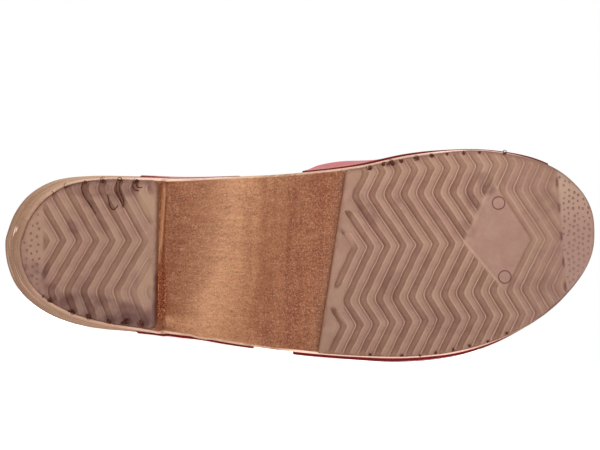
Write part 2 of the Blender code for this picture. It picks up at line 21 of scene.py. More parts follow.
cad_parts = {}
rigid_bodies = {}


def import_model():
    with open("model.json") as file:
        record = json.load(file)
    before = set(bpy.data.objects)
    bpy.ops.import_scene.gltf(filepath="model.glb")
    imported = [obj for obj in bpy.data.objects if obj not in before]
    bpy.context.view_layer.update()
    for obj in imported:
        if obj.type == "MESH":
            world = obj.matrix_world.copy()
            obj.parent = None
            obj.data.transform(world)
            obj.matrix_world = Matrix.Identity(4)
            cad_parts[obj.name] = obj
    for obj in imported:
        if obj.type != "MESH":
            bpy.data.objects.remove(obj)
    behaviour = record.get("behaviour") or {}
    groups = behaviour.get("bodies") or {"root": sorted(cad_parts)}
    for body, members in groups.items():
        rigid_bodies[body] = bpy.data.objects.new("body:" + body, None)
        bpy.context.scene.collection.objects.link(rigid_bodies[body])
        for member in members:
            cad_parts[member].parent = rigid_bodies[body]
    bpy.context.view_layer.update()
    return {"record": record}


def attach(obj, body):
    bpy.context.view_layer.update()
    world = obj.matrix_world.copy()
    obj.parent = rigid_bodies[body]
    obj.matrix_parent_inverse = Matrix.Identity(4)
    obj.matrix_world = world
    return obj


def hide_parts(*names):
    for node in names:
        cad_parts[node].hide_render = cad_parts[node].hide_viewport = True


log = logging.getLogger("clog")
MM = 0.001
TURN = 2 * math.pi
TINY = 1e-12
Array = np.ndarray
Pair = tuple[float, float]
Triple = tuple[float, float, float]
Table = tuple[tuple[float, ...], ...]


class Side(Enum):
    """The two sides of the shoe, with the sign of y on each."""

    MEDIAL = -1.0
    LATERAL = 1.0

    def pick(self, pair: tuple) -> object:
        """The side's own item of a pair given as medial and lateral."""
        return pair[self is Side.LATERAL]


# ---- curves and distances


def ease(low: float | Array, high: float | Array, x: float | Array) -> Array:
    """Smooth step: 3t^2 - 2t^3 of the share t of the way from low to high.

    Args:
        low: Where the step starts.
        high: Where it ends; it may lie below low, which turns the step round.
        x: The places.

    Returns:
        Values from 0 to 1.
    """
    t = np.clip((x - low) / (high - low), 0, 1)
    return t * t * (3 - 2 * t)


def hump(x: Array, middle: float | Array, width: float, power: int = 2) -> Array:
    """A soft hump: exp(-((x - middle) / width)^power)."""
    return np.exp(-(((x - middle) / width) ** power))


def read(table: Table, x: Array) -> Array:
    """A table of places and values, read along straight lines between its rows."""
    return np.interp(x, *np.array(table).T)


def through_table(values: Array, before: float, after: float, u: Array) -> Array:
    """Uniform Catmull-Rom curve through a table's column: (2b + lf + sf^2 + cf^3) / 2 in each span.

    Args:
        values: The column, one value a row.
        before: The value that would precede the first row.
        after: The value that would follow the last.
        u: Table positions, row number plus the share to the next row.

    Returns:
        The curve's value at each position.
    """
    padded = np.concatenate(([before], values, [after]))
    row = np.clip(np.floor(u).astype(int), 0, len(values) - 2)
    f = u - row
    a, b, c, d = (padded[row + k] for k in range(4))
    return (2 * b + (c - a) * f + (2 * a - 5 * b + 4 * c - d) * f**2 + (3 * b - a - 3 * c + d) * f**3) / 2


def rounded(places: Array, values: Array, x: Array, width: float | Array, reads: int) -> Array:
    """Straight lines through places, averaged over a width, which rounds the corners.

    Args:
        places: Places of the corners, rising.
        values: Values at them.
        x: Where to read.
        width: The width of the average.
        reads: How many readings it is taken from.

    Returns:
        The rounded values at x.
    """
    shifts = np.linspace(-width / 2, width / 2, reads)
    return np.mean([np.interp(x + shift, places, values) for shift in shifts], axis=0)


def to_outline(points: Array, outline: Array) -> tuple[Array, Array, Array]:
    """Signed distance of points to a closed outline, positive inside, by the nearest of its edges.

    Args:
        points: (n, 2) places.
        outline: (m, 2) corners, in order.

    Returns:
        The signed distances, the nearest point of the outline for each, and the edge's outward normal.
    """
    near = np.full(len(points), np.inf)
    foot, normal = np.zeros((2, len(points), 2))
    inside = np.zeros(len(points), bool)
    ahead = np.roll(outline, -1, axis=0)
    turned = np.sign((outline[:, 0] * ahead[:, 1] - ahead[:, 0] * outline[:, 1]).sum())
    for start, end in zip(outline, ahead):
        edge = end - start
        length = math.hypot(*edge)
        if length < 1e-9:
            continue
        share = np.clip((points - start) @ edge / length**2, 0, 1)
        nearest = start + share[:, None] * edge
        distance = np.hypot(*(points - nearest).T)
        closer = distance < near
        near[closer] = distance[closer]
        foot[closer] = nearest[closer]
        normal[closer] = np.array([edge[1], -edge[0]]) / length * turned
        crosses = (start[1] > points[:, 1]) != (end[1] > points[:, 1])
        at = start[0] + (points[:, 1] - start[1]) / (edge[1] or TINY) * edge[0]
        inside ^= crosses & (points[:, 0] < at)
    return np.where(inside, near, -near), foot, normal


def unit(vectors: Array) -> Array:
    """Vectors at length 1."""
    return vectors / np.maximum(np.linalg.norm(vectors, axis=-1, keepdims=True), TINY)


# ---- the shoe's own shape


@dataclass(frozen=True)
class Last:
    """The wooden sole's shape: plan outline, rim, footbed and underside, as functions of table positions.

    rows holds a line for each section: x, medial y, lateral y, rim height, depth of the footbed.
    Pairs are medial and lateral, except that an arch place is its x and its change with y.
    """

    gap: float = 0.3
    rubber: float = 5.0
    heel_front: float = 73.0
    breast_rise: float = 13.0
    breast_lean: float = 1.4
    arch_top: float = 26.0
    arch_power: float = 2.2
    arch_peak: Pair = (99.6, -0.27)
    arch_end: Pair = (147.0, -0.153)
    flat_end: float = 205.0
    toe_rise: float = 9.5
    heel_set_back: float = 12.0
    set_back_start: float = 30.0
    toe_set_back: Pair = (1.0, 235.0)
    heel_draft: Pair = (0.05, 0.088)
    fore_draft: Pair = (0.004, 0.022)
    draft_change: Pair = (58.0, 103.0)
    toe_draft: Pair = (208.0, 238.0)
    rows: Table = (
        (0, -3.5, -3.5, 46.5, 0), (1.2, -9.8, 5.8, 46.4, 0.3), (5, -18.9, 14.8, 46.2, 1.4),
        (12, -27, 22.6, 45.9, 2.6), (23, -32.7, 29.2, 45.3, 3.2), (38, -34.6, 33.5, 44.4, 3.4),
        (58, -34.5, 35.6, 43, 3), (82, -33.7, 37.4, 40.2, 1.8), (108, -34.3, 40.9, 35.6, 1.2),
        (134, -35.6, 43.7, 30.4, 1.4), (158, -38.2, 45.5, 26.8, 2.2), (180, -42.8, 45.9, 25.2, 2.6),
        (200, -45.1, 43.8, 25.2, 2.2), (218, -44.9, 38.1, 26.4, 1.8), (234, -42.2, 30.3, 28, 1.4),
        (247, -36.8, 21.3, 29.4, 0.9), (257, -28.3, 10.4, 30.4, 0.4), (262.1, -19.3, 0.6, 31, 0.1),
        (263.4, -9.2, -9.2, 31.1, 0),
    )

    @property
    def end(self) -> int:
        """The last table position."""
        return len(self.rows) - 1

    @property
    def length(self) -> float:
        """The sole's length over its rim."""
        return self.rows[-1][0]

    @property
    def ground(self) -> float:
        """Height of the wood's flat lower face."""
        return self.rubber + self.gap

    def column(self, number: int) -> Array:
        """One column of the table."""
        return np.array([row[number] for row in self.rows], float)

    def mirrored(self, number: int, u: Array) -> Array:
        """A column's curve, with the neighbours of its ends mirrored."""
        values = self.column(number)
        return through_table(values, values[1], values[-2], u)

    def rim_x(self, u: Array) -> Array:
        """Distance of the rim from the back of the heel."""
        return self.mirrored(0, u)

    def rim_y(self, side: Side, u: Array) -> Array:
        """The rim's y on one side; past each tip the curve runs on into the other side, to be round."""
        near, far = side.pick(((1, 2), (2, 1)))
        other = self.column(far)
        return through_table(self.column(near), other[1], other[-2], u)

    def rim_height(self, u: Array) -> Array:
        """Height of the rim."""
        return self.mirrored(3, u)

    def dish(self, u: Array) -> Array:
        """Depth of the footbed below the rim."""
        return self.mirrored(4, u)

    def steps(self) -> Array:
        """Table positions at small steps."""
        return np.linspace(0, self.end, 60 * self.end + 1)

    def position(self, x: Array) -> Array:
        """The table position whose section lies at x."""
        return np.interp(x, self.rim_x(self.steps()), self.steps())

    def foot_position(self, side: Side, x: Array) -> Array:
        """The table position whose lower edge lies at x."""
        return np.interp(x, self.side_point(side, self.steps(), 0)[0], self.steps())

    def toe_spring(self, x: Array) -> Array:
        """How far the ground face has risen at x: the square of the share of the way to the toe."""
        return self.toe_rise * (np.clip(x - self.flat_end, 0, None) / (self.length - self.flat_end)) ** 2

    def underside(self, x: Array, y: Array) -> Array:
        """Height of the wood's lower face: level heel, breast, skewed arch, level forefoot, toe spring.

        The arch climbs to its peak as 1 - (1 - t)^power and falls from it as half a cosine wave.

        Args:
            x: Places along the shoe.
            y: Places across it.

        Returns:
            The heights.
        """
        head = self.heel_front + self.breast_lean
        peak = self.arch_peak[0] + self.arch_peak[1] * y
        end = self.arch_end[0] + self.arch_end[1] * y
        breast = self.breast_rise * np.clip((x - self.heel_front) / self.breast_lean, 0, 1)
        climb = np.clip((x - head) / (peak - head), 0, 1)
        climb = (self.arch_top - self.ground - self.breast_rise) * (1 - (1 - climb) ** self.arch_power)
        fall = np.clip((x - peak) / (end - peak), 0, 1)
        fall = (self.arch_top - self.ground) * (1 + np.cos(math.pi * fall)) / 2
        return self.ground + np.where(x < peak, breast + climb, fall + self.toe_spring(x))

    def skew(self, x: Array, y: Array) -> Array:
        """How far the heel's front runs askew in plan: a share of y + 22 mm, fading over 12 mm."""
        return -0.024 * (y + 22) * hump(x, self.heel_front, 12)

    def outward(self, side: Side, u: Array) -> tuple[Array, Array]:
        """Unit normal of the rim's plan curve, pointing out of the shoe.

        Args:
            side: Which side.
            u: Table positions.

        Returns:
            Its x and y.
        """
        step = 1e-3
        run = self.rim_x(u + step) - self.rim_x(u - step)
        rise = self.rim_y(side, u + step) - self.rim_y(side, u - step)
        length = np.hypot(run, rise)
        return -side.value * rise / length, side.value * run / length

    def side_point(
        self, side: Side, u: Array, share: float | Array, inset: float | Array = 0.0
    ) -> tuple[Array, Array]:
        """A plan position on the sole's side: a straight blend from its foot to its rim.

        Args:
            side: Which side.
            u: Table positions.
            share: 0 at the foot, 1 at the rim.
            inset: How far to move inwards along the plan normal.

        Returns:
            x and y.
        """
        out_x, out_y = self.outward(side, u)
        x, y = self.rim_x(u), self.rim_y(side, u)
        heel = 1 - ease(self.set_back_start, self.heel_front, x)
        draft = side.pick(self.fore_draft)
        draft = draft + (self.fore_draft[1] - draft) * ease(*self.toe_draft, x)
        draft = draft + (side.pick(self.heel_draft) - draft) * (1 - ease(*self.draft_change, x))
        back, start = self.toe_set_back
        foot_x = x + self.heel_set_back * heel - back * ease(start, self.length, x)
        foot_y = y * (1 - draft)
        return foot_x + (x - foot_x) * share - inset * out_x, foot_y + (y - foot_y) * share - inset * out_y


LAST = Last()


@dataclass(frozen=True)
class Standing:
    """Where the shoe lies in the row: its axes and its origin, found from the two tread mounts.

    heel and fore are those mounts' places in the shoe's own frame.
    """

    turn: Array
    origin: Array
    heel: Pair = (19.0, -2.0)
    fore: Pair = (173.1, -4.7)

    @classmethod
    def from_record(cls, record: dict) -> Standing:
        """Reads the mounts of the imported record.

        Args:
            record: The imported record.

        Returns:
            The shoe's place: columns of turn are its x, y and z axes in the row.
        """
        mounts = {mount["name"]: mount for mount in record["mounts"]}
        heel, fore = mounts["heel_tread_face"], mounts["forefoot_tread_face"]
        up = unit(-np.array(heel["axis"], float))
        run = np.array(fore["pos_m"], float) - np.array(heel["pos_m"], float)
        run = unit(run - up * (run @ up))
        across = np.cross(up, run)
        dx, dy = unit(np.subtract(cls.fore, cls.heel))
        along = run * dx - across * dy
        turn = np.stack((along, np.cross(up, along), up), axis=1)
        origin = np.array(heel["pos_m"], float) - turn @ (np.array((*cls.heel, 0.0)) * MM)
        return cls(turn, origin)

    def place(self, points: Array) -> Array:
        """Shoe millimetres to row metres."""
        return np.asarray(points, float) * MM @ self.turn.T + self.origin

    def direction(self, vector: Array) -> Array:
        """A direction in the shoe's frame as one in the row's."""
        return self.turn @ np.asarray(vector, float)


# ---- meshes


@dataclass
class Surface:
    """Points, faces and point attributes of a piece in the shoe's frame, before it becomes a mesh."""

    points: Array
    quads: Array
    tints: dict[str, Array] = field(default_factory=dict)

    def joined(self, other: Surface) -> Surface:
        """Both surfaces as one; each attribute must be in both.

        Args:
            other: The other surface.

        Returns:
            The joined surface.
        """
        return Surface(
            np.concatenate((self.points, other.points)),
            np.concatenate((self.quads, other.quads + len(self.points))),
            {name: np.concatenate((values, other.tints[name])) for name, values in self.tints.items()},
        )

    def compact(self) -> Surface:
        """The surface without the points that no face uses."""
        used, quads = np.unique(self.quads, return_inverse=True)
        tints = {name: values[used] for name, values in self.tints.items()}
        return Surface(self.points[used], quads.reshape(self.quads.shape), tints)


def grid_quads(rows: int, columns: int, wrap: bool = False) -> Array:
    """Quads of a grid of points stored row by row.

    Args:
        rows: Number of rows.
        columns: Number of points in a row.
        wrap: Whether each row is a closed loop.

    Returns:
        (n, 4) point numbers.
    """
    i, j = np.meshgrid(np.arange(rows - 1), np.arange(columns if wrap else columns - 1), indexing="ij")
    here, beyond = i * columns, (i + 1) * columns
    k = (j + 1) % columns
    return np.stack((here + j, here + k, beyond + k, beyond + j), axis=-1).reshape(-1, 4)


def many(points: Array) -> Surface:
    """A surface of several grids of the same size, (grids, rows, columns, 3) points with closed rows."""
    count, rows, columns = points.shape[:3]
    quads = grid_quads(rows, columns, wrap=True)[None] + (np.arange(count) * rows * columns)[:, None, None]
    return Surface(points.reshape(-1, 3), quads.reshape(-1, 4))


def make_piece(
    name: str, surface: Surface, standing: Standing, finish: Material, sharp: float = 40.0
) -> bpy.types.Object:
    """Turns a surface into a finished object at the origin, with its place in its mesh.

    Every point keeps its shoe position in the attribute "place", in millimetres.

    Args:
        name: The piece's name.
        surface: Its points, faces and attributes.
        standing: The shoe's place in the row.
        finish: Its material.
        sharp: Edges that bend by more than this many degrees stay sharp.

    Returns:
        The object, linked to the scene and riding on the root body.
    """
    mesh = bpy.data.meshes.new(name)
    count = len(surface.points)
    mesh.vertices.add(count)
    mesh.vertices.foreach_set("co", standing.place(surface.points).astype(np.float32).ravel())
    mesh.loops.add(surface.quads.size)
    mesh.loops.foreach_set("vertex_index", surface.quads.astype(np.int32).ravel())
    mesh.polygons.add(len(surface.quads))
    mesh.polygons.foreach_set("loop_start", np.arange(0, surface.quads.size, 4, dtype=np.int32))
    mesh.update(calc_edges=True)
    place = mesh.attributes.new("place", "FLOAT_VECTOR", "POINT")
    place.data.foreach_set("vector", surface.points.astype(np.float32).ravel())
    for tint, values in surface.tints.items():
        layer = mesh.attributes.new(tint, "FLOAT", "POINT")
        layer.data.foreach_set("value", np.broadcast_to(values, count).astype(np.float32))
    work = bmesh.new()
    work.from_mesh(mesh)
    bmesh.ops.remove_doubles(work, verts=work.verts[:], dist=1e-7)
    bmesh.ops.dissolve_degenerate(work, edges=work.edges[:], dist=1e-8)
    bmesh.ops.recalc_face_normals(work, faces=work.faces[:])
    work.to_mesh(mesh)
    work.free()
    mesh.materials.append(finish)
    mesh.shade_smooth()
    mesh.set_sharp_from_angle(angle=math.radians(sharp))
    piece = bpy.data.objects.new(name, mesh)
    bpy.context.scene.collection.objects.link(piece)
    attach(piece, "root")
    log.info("%s: %d points, %d faces", name, len(mesh.vertices), len(mesh.polygons))
    return piece


def ring_angles(sides: int) -> Array:
    """Angles of the points of a ring, as a column."""
    return np.linspace(0, TURN, sides, endpoint=False)[:, None]


def tube(path: Array, radius: Array, sides: int) -> Surface:
    """A round tube along a path: rings at right angles to it, drawn to points at its ends.

    Args:
        path: (n, 3) points.
        radius: Its radius at each.
        sides: Points in a ring.

    Returns:
        The tube's surface.
    """
    ahead = unit(np.gradient(path, axis=0))
    helper = np.where(np.abs(ahead[:, 2:]) < 0.9, [[0.0, 0.0, 1.0]], [[1.0, 0.0, 0.0]])
    right = unit(np.cross(ahead, helper))
    up = np.cross(right, ahead)
    angle = ring_angles(sides)
    ring = right[:, None] * np.cos(angle) + up[:, None] * np.sin(angle)
    points = path[:, None] + ring * radius[:, None, None]
    tips = np.repeat(path[[0, -1]][:, None], sides, axis=1)
    return many(np.concatenate((tips[:1], points, tips[1:]))[None])


def lumps(centres: Array, radii: Array, seed: int, rough: float, sides: int = 8, rings: int = 6) -> Surface:
    """Small closed ellipsoids, each made uneven by its own waves.

    Args:
        centres: (n, 3) centres.
        radii: (n, 3) half-lengths along x, y and z.
        seed: Seed of the unevenness.
        rough: Its size as a share of the radius.
        sides: Points in a ring.
        rings: Rings from pole to pole.

    Returns:
        All the lumps as one surface.
    """
    random = np.random.default_rng(seed)
    polar = np.linspace(0, math.pi, rings + 1)[:, None]
    around = ring_angles(sides).T
    ball = np.sin(polar) * np.cos(around), np.sin(polar) * np.sin(around), np.cos(polar)
    ball = np.stack(np.broadcast_arrays(*ball), -1)
    phase = random.uniform(0, TURN, (len(centres), 3))
    wave = sum(np.sin(3 * ball[None, ..., k] + phase[:, None, None, k]) for k in range(3)) / 3
    swell = 1 + rough * wave[..., None]
    return many(centres[:, None, None] + ball[None] * swell * radii[:, None, None])


def normals_of(face: Array) -> Array:
    """Unit normals of a grid of points, turned outwards."""
    normal = unit(np.cross(np.gradient(face, axis=0), np.gradient(face, axis=1)))
    return normal if (normal * (face - face.mean(axis=(0, 1)))).sum() > 0 else -normal


def sheet(face: Array, thickness: float, bulge: float, flex: Array) -> Surface:
    """A closed sheet of leather: an outer face, its inner face along the normals, and rounded edges.

    The edge runs from face to face as half an ellipse. The attribute "face" is 1 outside, 0 at the
    middle of the edge and -1 inside; "rim" is 1 on the edge and 0 on both faces.

    Args:
        face: (rows, columns, 3) outer face.
        thickness: The sheet's thickness.
        bulge: How far the edge stands out.
        flex: The attribute "flex", one value for each point of the outer face.

    Returns:
        The closed surface.
    """
    rows, columns = face.shape[:2]
    number = np.arange(rows * columns).reshape(rows, columns)
    loop = np.concatenate((number[0], number[1:, -1], number[-1, -2::-1], number[-2:0:-1, 0]))
    outer, normal = face.reshape(-1, 3), normals_of(face).reshape(-1, 3)
    inner = outer - normal * thickness
    away = np.zeros_like(face)
    for axis in (0, 1):
        ahead = unit(np.moveaxis(np.gradient(face, axis=axis), axis, 0))
        rim = np.moveaxis(away, axis, 0)
        rim[0] -= ahead[0]
        rim[-1] += ahead[-1]
    away = away.reshape(-1, 3)[loop]
    away = unit(away - normal[loop] * (away * normal[loop]).sum(axis=1, keepdims=True))
    middle = (outer + inner)[loop] / 2
    angles = np.linspace(0, math.pi, 7)[1:-1]
    bands = [
        middle + normal[loop] * (thickness / 2 * math.cos(angle)) + away * (bulge * math.sin(angle))
        for angle in angles
    ]
    half = rows * columns
    edges = [2 * half + k * len(loop) + np.arange(len(loop)) for k in range(len(bands))]
    chain = [loop, *edges, half + loop]
    quads = [grid_quads(rows, columns), grid_quads(rows, columns)[:, ::-1] + half]
    for first, second in zip(chain, chain[1:]):
        quads.append(np.stack((first, np.roll(first, -1), np.roll(second, -1), second), axis=1))
    on_edge = [np.full(len(loop), math.cos(angle)) for angle in angles]
    depth = np.concatenate((np.ones(half), -np.ones(half), *on_edge))
    on_rim = np.concatenate((np.zeros(2 * half), np.ones(len(loop) * len(bands))))
    on_rim[loop] = on_rim[half + loop] = 1.0
    flex = flex.reshape(-1)
    flex = np.concatenate((flex, flex, np.tile(flex[loop], len(bands))))
    tints = {"face": depth, "rim": on_rim, "flex": flex}
    return Surface(np.concatenate((outer, inner, *bands)), np.concatenate(quads), tints)


# ---- the rubber treads


def blots(marks: Table, x: Array, y: Array) -> Array:
    """Soft-edged oval marks, summed: each falls from its strength to 0 from 0.7 to 1.25 of its size.

    Args:
        marks: A row for each: its centre's x and y, half-lengths, turn in degrees and strength.
        x: Places along the shoe.
        y: Places across it.

    Returns:
        The strength at each place.
    """
    total = np.zeros_like(x)
    for middle_x, middle_y, long, wide, turn, strength in marks:
        angle = math.radians(turn)
        dx, dy = x - middle_x, y - middle_y
        along = (dx * math.cos(angle) + dy * math.sin(angle)) / long
        across = (dy * math.cos(angle) - dx * math.sin(angle)) / wide
        total = total + strength * (1 - ease(0.7, 1.25, np.hypot(along, across)))
    return total


# Groove profile over one pitch: share of the pitch, depth in mm, tone of the fine line drawn there: a painted
# highlight above 0, painted shade below
PROFILE: Table = (
    (0, 1.12, -0.05), (0.1, 1, 0), (0.165, 0.74, 0.05), (0.205, 0.38, 0.15), (0.245, 0.05, 0.6),
    (0.285, -0.02, 0.5), (0.335, 0, 0.1), (0.42, -0.03, 0), (0.51, -0.03, 0), (0.59, 0, -0.05),
    (0.635, 0.06, -0.4), (0.665, 0.14, -0.85), (0.695, 0.06, -0.25), (0.735, -0.05, 0.9),
    (0.78, 0.1, 0.35), (0.82, 0.68, -0.2), (0.87, 1.12, -0.35), (0.93, 1.16, -0.2),
)


@dataclass
class Tread:
    """A moulded rubber tread: zigzag grooves at a constant pitch over a plain outline.

    The face is a lattice whose columns follow the zigzag; its outermost points are moved onto the
    outline, and the sides and the upper face close the piece. bends holds a line for each bend of
    the zigzag: its y, its x from the groove's own start, how y drifts for each mm toe-wards, and the
    width over which it is rounded. tufts are x, y and size; dot_shades are the pad pimples' painted
    shade, medial and lateral.
    """

    name: str
    bends: Table
    numbers: tuple[int, int]
    start: float
    pitch: float = 7.2
    row_step: float = 0.72
    taper: float = 0.5
    inset: float = 0.6
    edge_round: float = 0.7
    keep: float = 0.34
    wander: float = 0.06
    waves: Table = ((0.31, 0.23, 0.7), (-0.47, 0.61, 2.1), (0.9, -0.35, 4.4))
    side_rings: Table = ((0.35, 0.25), (0.7, 0.7))
    line_share: float = 1.0
    pad_tone: float = 1.0
    dot_shades: Pair = (-0.7, -0.36)
    dot_radii: Triple = (0.56, 0.66, 0.3)
    crumbs: int = 10
    stains: Table = ()
    smooth_patches: Table = ()
    tufts: Table = ()
    threads: tuple[Table, ...] = ()

    def outline(self, inset: float) -> Array:
        """The tread's outline in plan, moved in by an inset, as (n, 2) corners; each tread draws its own."""
        raise NotImplementedError

    def groove_share(self, x: Array, y: Array, phase: Array) -> Array:
        """Share of the full groove depth; each tread has its own."""
        raise NotImplementedError

    def pad_share(self, x: Array, y: Array) -> Array:
        """pad_tone on the dotted pad at the tread's end, 0 elsewhere."""
        raise NotImplementedError

    def lined(self, x: Array, y: Array, phase: Array) -> Array:
        """Share of the painted highlight and shade lines beside the grooves that is drawn; by default all of
        it.
        """
        return np.ones_like(x)

    def details(self, points: Array, tints: dict[str, Array]) -> None:
        """Adds to points and tints what only one tread has; by default nothing."""

    def edge_distance(self, x: Array, y: Array) -> tuple[Array, Array, Array]:
        """Distance of places to the outline of the face, with its nearest points and normals."""
        return to_outline(np.stack((x, y), axis=1), self.outline(self.inset + self.taper))

    def lattice(self) -> tuple[Array, ...]:
        """The whole lattice before it is trimmed.

        x = start + zigzag(y0) + pitch * q and y = y0 + drift(y0) * (x - start).

        Returns:
            x, y, phase, depth and line tone of its points.
        """
        shares, depths, tones = np.array(PROFILE).T
        repeats = self.numbers[1] - self.numbers[0]
        q = (np.arange(*self.numbers)[:, None] + shares[None, :]).ravel()
        bend_y, bend_x, bend_drift, bend_soft = np.array(self.bends, float).T
        y0 = np.arange(bend_y[0], bend_y[-1], self.row_step)
        zigzag = rounded(bend_y, bend_x, y0, np.interp(y0, bend_y, bend_soft), 9)
        x = self.start + zigzag[None, :] + self.pitch * q[:, None]
        y = y0[None, :] + np.interp(y0, bend_y, bend_drift)[None, :] * (x - self.start)
        x = x + self.wander * sum(np.sin(along * x + across * y + turn) for along, across, turn in self.waves)
        columns = ((q + 0.5) % 1.0 - 0.5, np.tile(depths, repeats), np.tile(tones, repeats))
        return x, y, *(np.broadcast_to(column[:, None], x.shape) for column in columns)

    def surface(self) -> Surface:
        """The closed tread with its attributes.

        Returns:
            The surface; "relief" is the depth below the tread face in mm, "tone" the fine lines beside the
            grooves, painted highlights and painted shade, "edge" the distance from the outline, "pad" the
            dotted pad, "stain" the dark marks, one of them painted shade, "plain" the smooth patches,
            "label" the lozenge and "wall" the sides.
        """
        lattice = self.lattice()
        x, y, phase, depth, tone = (grid.ravel() for grid in lattice)
        count = len(x)
        distance, foot, normal = self.edge_distance(x, y)
        quads = grid_quads(*lattice[0].shape)
        quads = self.well_joined(quads[(distance[quads] > -self.keep).all(axis=1)])
        edges = np.stack((quads, np.roll(quads, -1, axis=1)), axis=-1).reshape(-1, 2)
        border = edges[~np.isin(edges @ (count, 1), edges @ (1, count))]
        on_border = np.zeros(count, bool)
        on_border[border] = True
        snap = on_border | (distance < 0)
        x[snap], y[snap] = foot[snap].T
        edge = np.where(snap, 0.0, distance)
        share = self.groove_share(x, y, phase)
        relief = depth * share
        rounding = np.clip(self.edge_round - edge, 0, self.edge_round)
        lift = self.edge_round - np.sqrt(self.edge_round**2 - rounding**2)
        spring = LAST.toe_spring(x)
        # tone paints fine lines beside the grooves: highlights where above 0, shade where below.
        lines = tone * ease(0, 0.6, share) * ease(0.3, 1.2, edge) * self.lined(x, y, phase)
        tints = {
            "relief": relief,
            "tone": self.line_share * lines,
            "edge": edge,
            "pad": self.pad_share(x, y),
            "stain": blots(self.stains, x, y) + self.smudges(x, y),
            "plain": blots(self.smooth_patches, x, y),
        }
        face = np.stack((x, y, spring + relief + lift), axis=1)
        self.details(face, tints)
        top = face.copy()
        top[:, 2] = LAST.rubber + spring
        top[on_border, :2] += normal[on_border] * self.taper
        rings = [face]
        for drop, out in self.side_rings:
            middle = face * (1 - drop) + top * drop
            middle[:, :2] = face[:, :2] + normal * self.taper * out
            rings.append(middle)
        rings.append(top)
        walls = [np.hstack((border[:, ::-1] + k * count, border + (k + 1) * count)) for k in range(3)]
        tints = {tint: np.tile(values, 4) for tint, values in tints.items()}
        tints["wall"] = np.repeat((0.0, 0.6, 1.0, 1.0), count)
        quads = np.concatenate((quads, *walls, quads[:, ::-1] + 3 * count))
        return Surface(np.concatenate(rings), quads, tints).compact()

    @staticmethod
    def well_joined(quads: Array) -> Array:
        """Drops cells that hang on by fewer than two of their edges, so the border stays a clean loop.

        Args:
            quads: (n, 4) point numbers.

        Returns:
            The cells that stay.
        """
        for _ in range(4):
            edges = np.sort(np.stack((quads, np.roll(quads, -1, axis=1)), axis=-1).reshape(-1, 2), axis=1)
            key = edges[:, 0].astype(np.int64) << 32 | edges[:, 1]
            _, inverse, counts = np.unique(key, return_inverse=True, return_counts=True)
            shared = (counts[inverse] == 2).reshape(-1, 4).sum(axis=1)
            quads = quads[shared >= 2]
        return quads

    def smudges(self, x: Array, y: Array) -> Array:
        """Dark smudges round the tufts: size * exp(-(distance / (1.3 size))^2), summed.

        Args:
            x: Places along the shoe.
            y: Places across it.

        Returns:
            Their strength at each place.
        """
        found = np.zeros_like(x)
        for at_x, at_y, size in self.tufts:
            found += 0.8 * size * np.exp(-(((x - at_x) ** 2 + (y - at_y) ** 2) / (1.3 * size) ** 2))
        return found

    def flash(self, seed: int) -> Surface:
        """Torn moulding flash: a tuft of crumbs where a groove runs out, and thin curled threads.

        Args:
            seed: Seed of the crumbs' places and sizes.

        Returns:
            Crumbs and threads as one surface.
        """
        random = np.random.default_rng(seed)
        tufts = np.repeat(np.array(self.tufts), self.crumbs, axis=0)
        size = tufts[:, 2:]
        centres = tufts[:, :2] + random.normal(0.0, 0.36, (len(tufts), 2)) * size
        distance, foot, normal = self.edge_distance(*centres.T)
        centres = np.where(distance[:, None] < 0.1, foot - 0.1 * normal, centres)
        z = LAST.toe_spring(centres[:, 0]) + random.uniform(-0.35, 0.35, len(tufts))
        radii = size * random.uniform(0.15, 0.38, (len(tufts), 3))
        made = lumps(np.column_stack((centres, z)), radii, seed, rough=0.45)
        turn = np.linspace(0, 1, 12)
        for x, y, size in self.tufts:
            for _ in range(round(1.6 * size)):
                bend = random.uniform(0, TURN) + random.choice((-1, 1)) * random.uniform(2.2, 4.2) * turn
                reach = size * random.uniform(0.5, 1.0) * (0.6 + 0.6 * turn)
                at_x, at_y = x + reach * np.cos(bend), y + reach * np.sin(bend)
                curl = np.column_stack((at_x, at_y, LAST.toe_spring(at_x) - 0.25 * np.sin(math.pi * turn)))
                made = made.joined(tube(curl, 0.17 - 0.07 * turn, 6))
        for thread in self.threads:
            u = np.linspace(0, len(thread) - 1, 9 * len(thread))
            x, y = (
                through_table(values, 2 * values[0] - values[1], 2 * values[-1] - values[-2], u)
                for values in np.array(thread).T
            )
            swell = 0.17 + 0.12 * np.sin(math.pi * u / u[-1]) * (1 + 0.3 * np.sin(5.0 * u))
            made = made.joined(tube(np.column_stack((x, y, LAST.toe_spring(x) - 0.1)), swell, 7))
        return made

    def dots(self, lowest: float, spacing: float, margin: float, seed: int) -> Surface:
        """The pad's small pimples on a loose staggered lattice.

        Args:
            lowest: Where the lattice starts.
            spacing: Distance between pimples.
            margin: Least distance from the outline.
            seed: Seed of their unevenness.

        Returns:
            The pimples' surface; attributes of the tread that it lacks read as 0.
        """
        random = np.random.default_rng(seed)
        i, j = np.meshgrid(np.arange(-2, 30), np.arange(-30, 30), indexing="ij")
        centres = np.stack((lowest + (i * 0.87) * spacing, (j + 0.5 * (i % 2)) * spacing), axis=-1)
        centres = centres.reshape(-1, 2)
        centres += random.uniform(-0.2, 0.2, centres.shape) * spacing
        distance, _, _ = self.edge_distance(*centres.T)
        centres = centres[(distance > margin) & (self.pad_share(*centres.T) > 0.97 * self.pad_tone)]
        size = random.uniform(0.65, 1.15, len(centres))
        z = LAST.toe_spring(centres[:, 0]) - 0.02
        made = lumps(np.column_stack((centres, z)), size[:, None] * self.dot_radii, seed, rough=0.12, sides=9)
        # The pimples' tone is painted shade, darker on the medial side.
        medial, lateral = self.dot_shades
        tone = medial + (lateral - medial) * ease(-24, 0, made.points[:, 1])
        made.tints = {"tone": tone, "edge": np.full(len(tone), 5.0), "pad": np.full(len(tone), 0.6)}
        return made


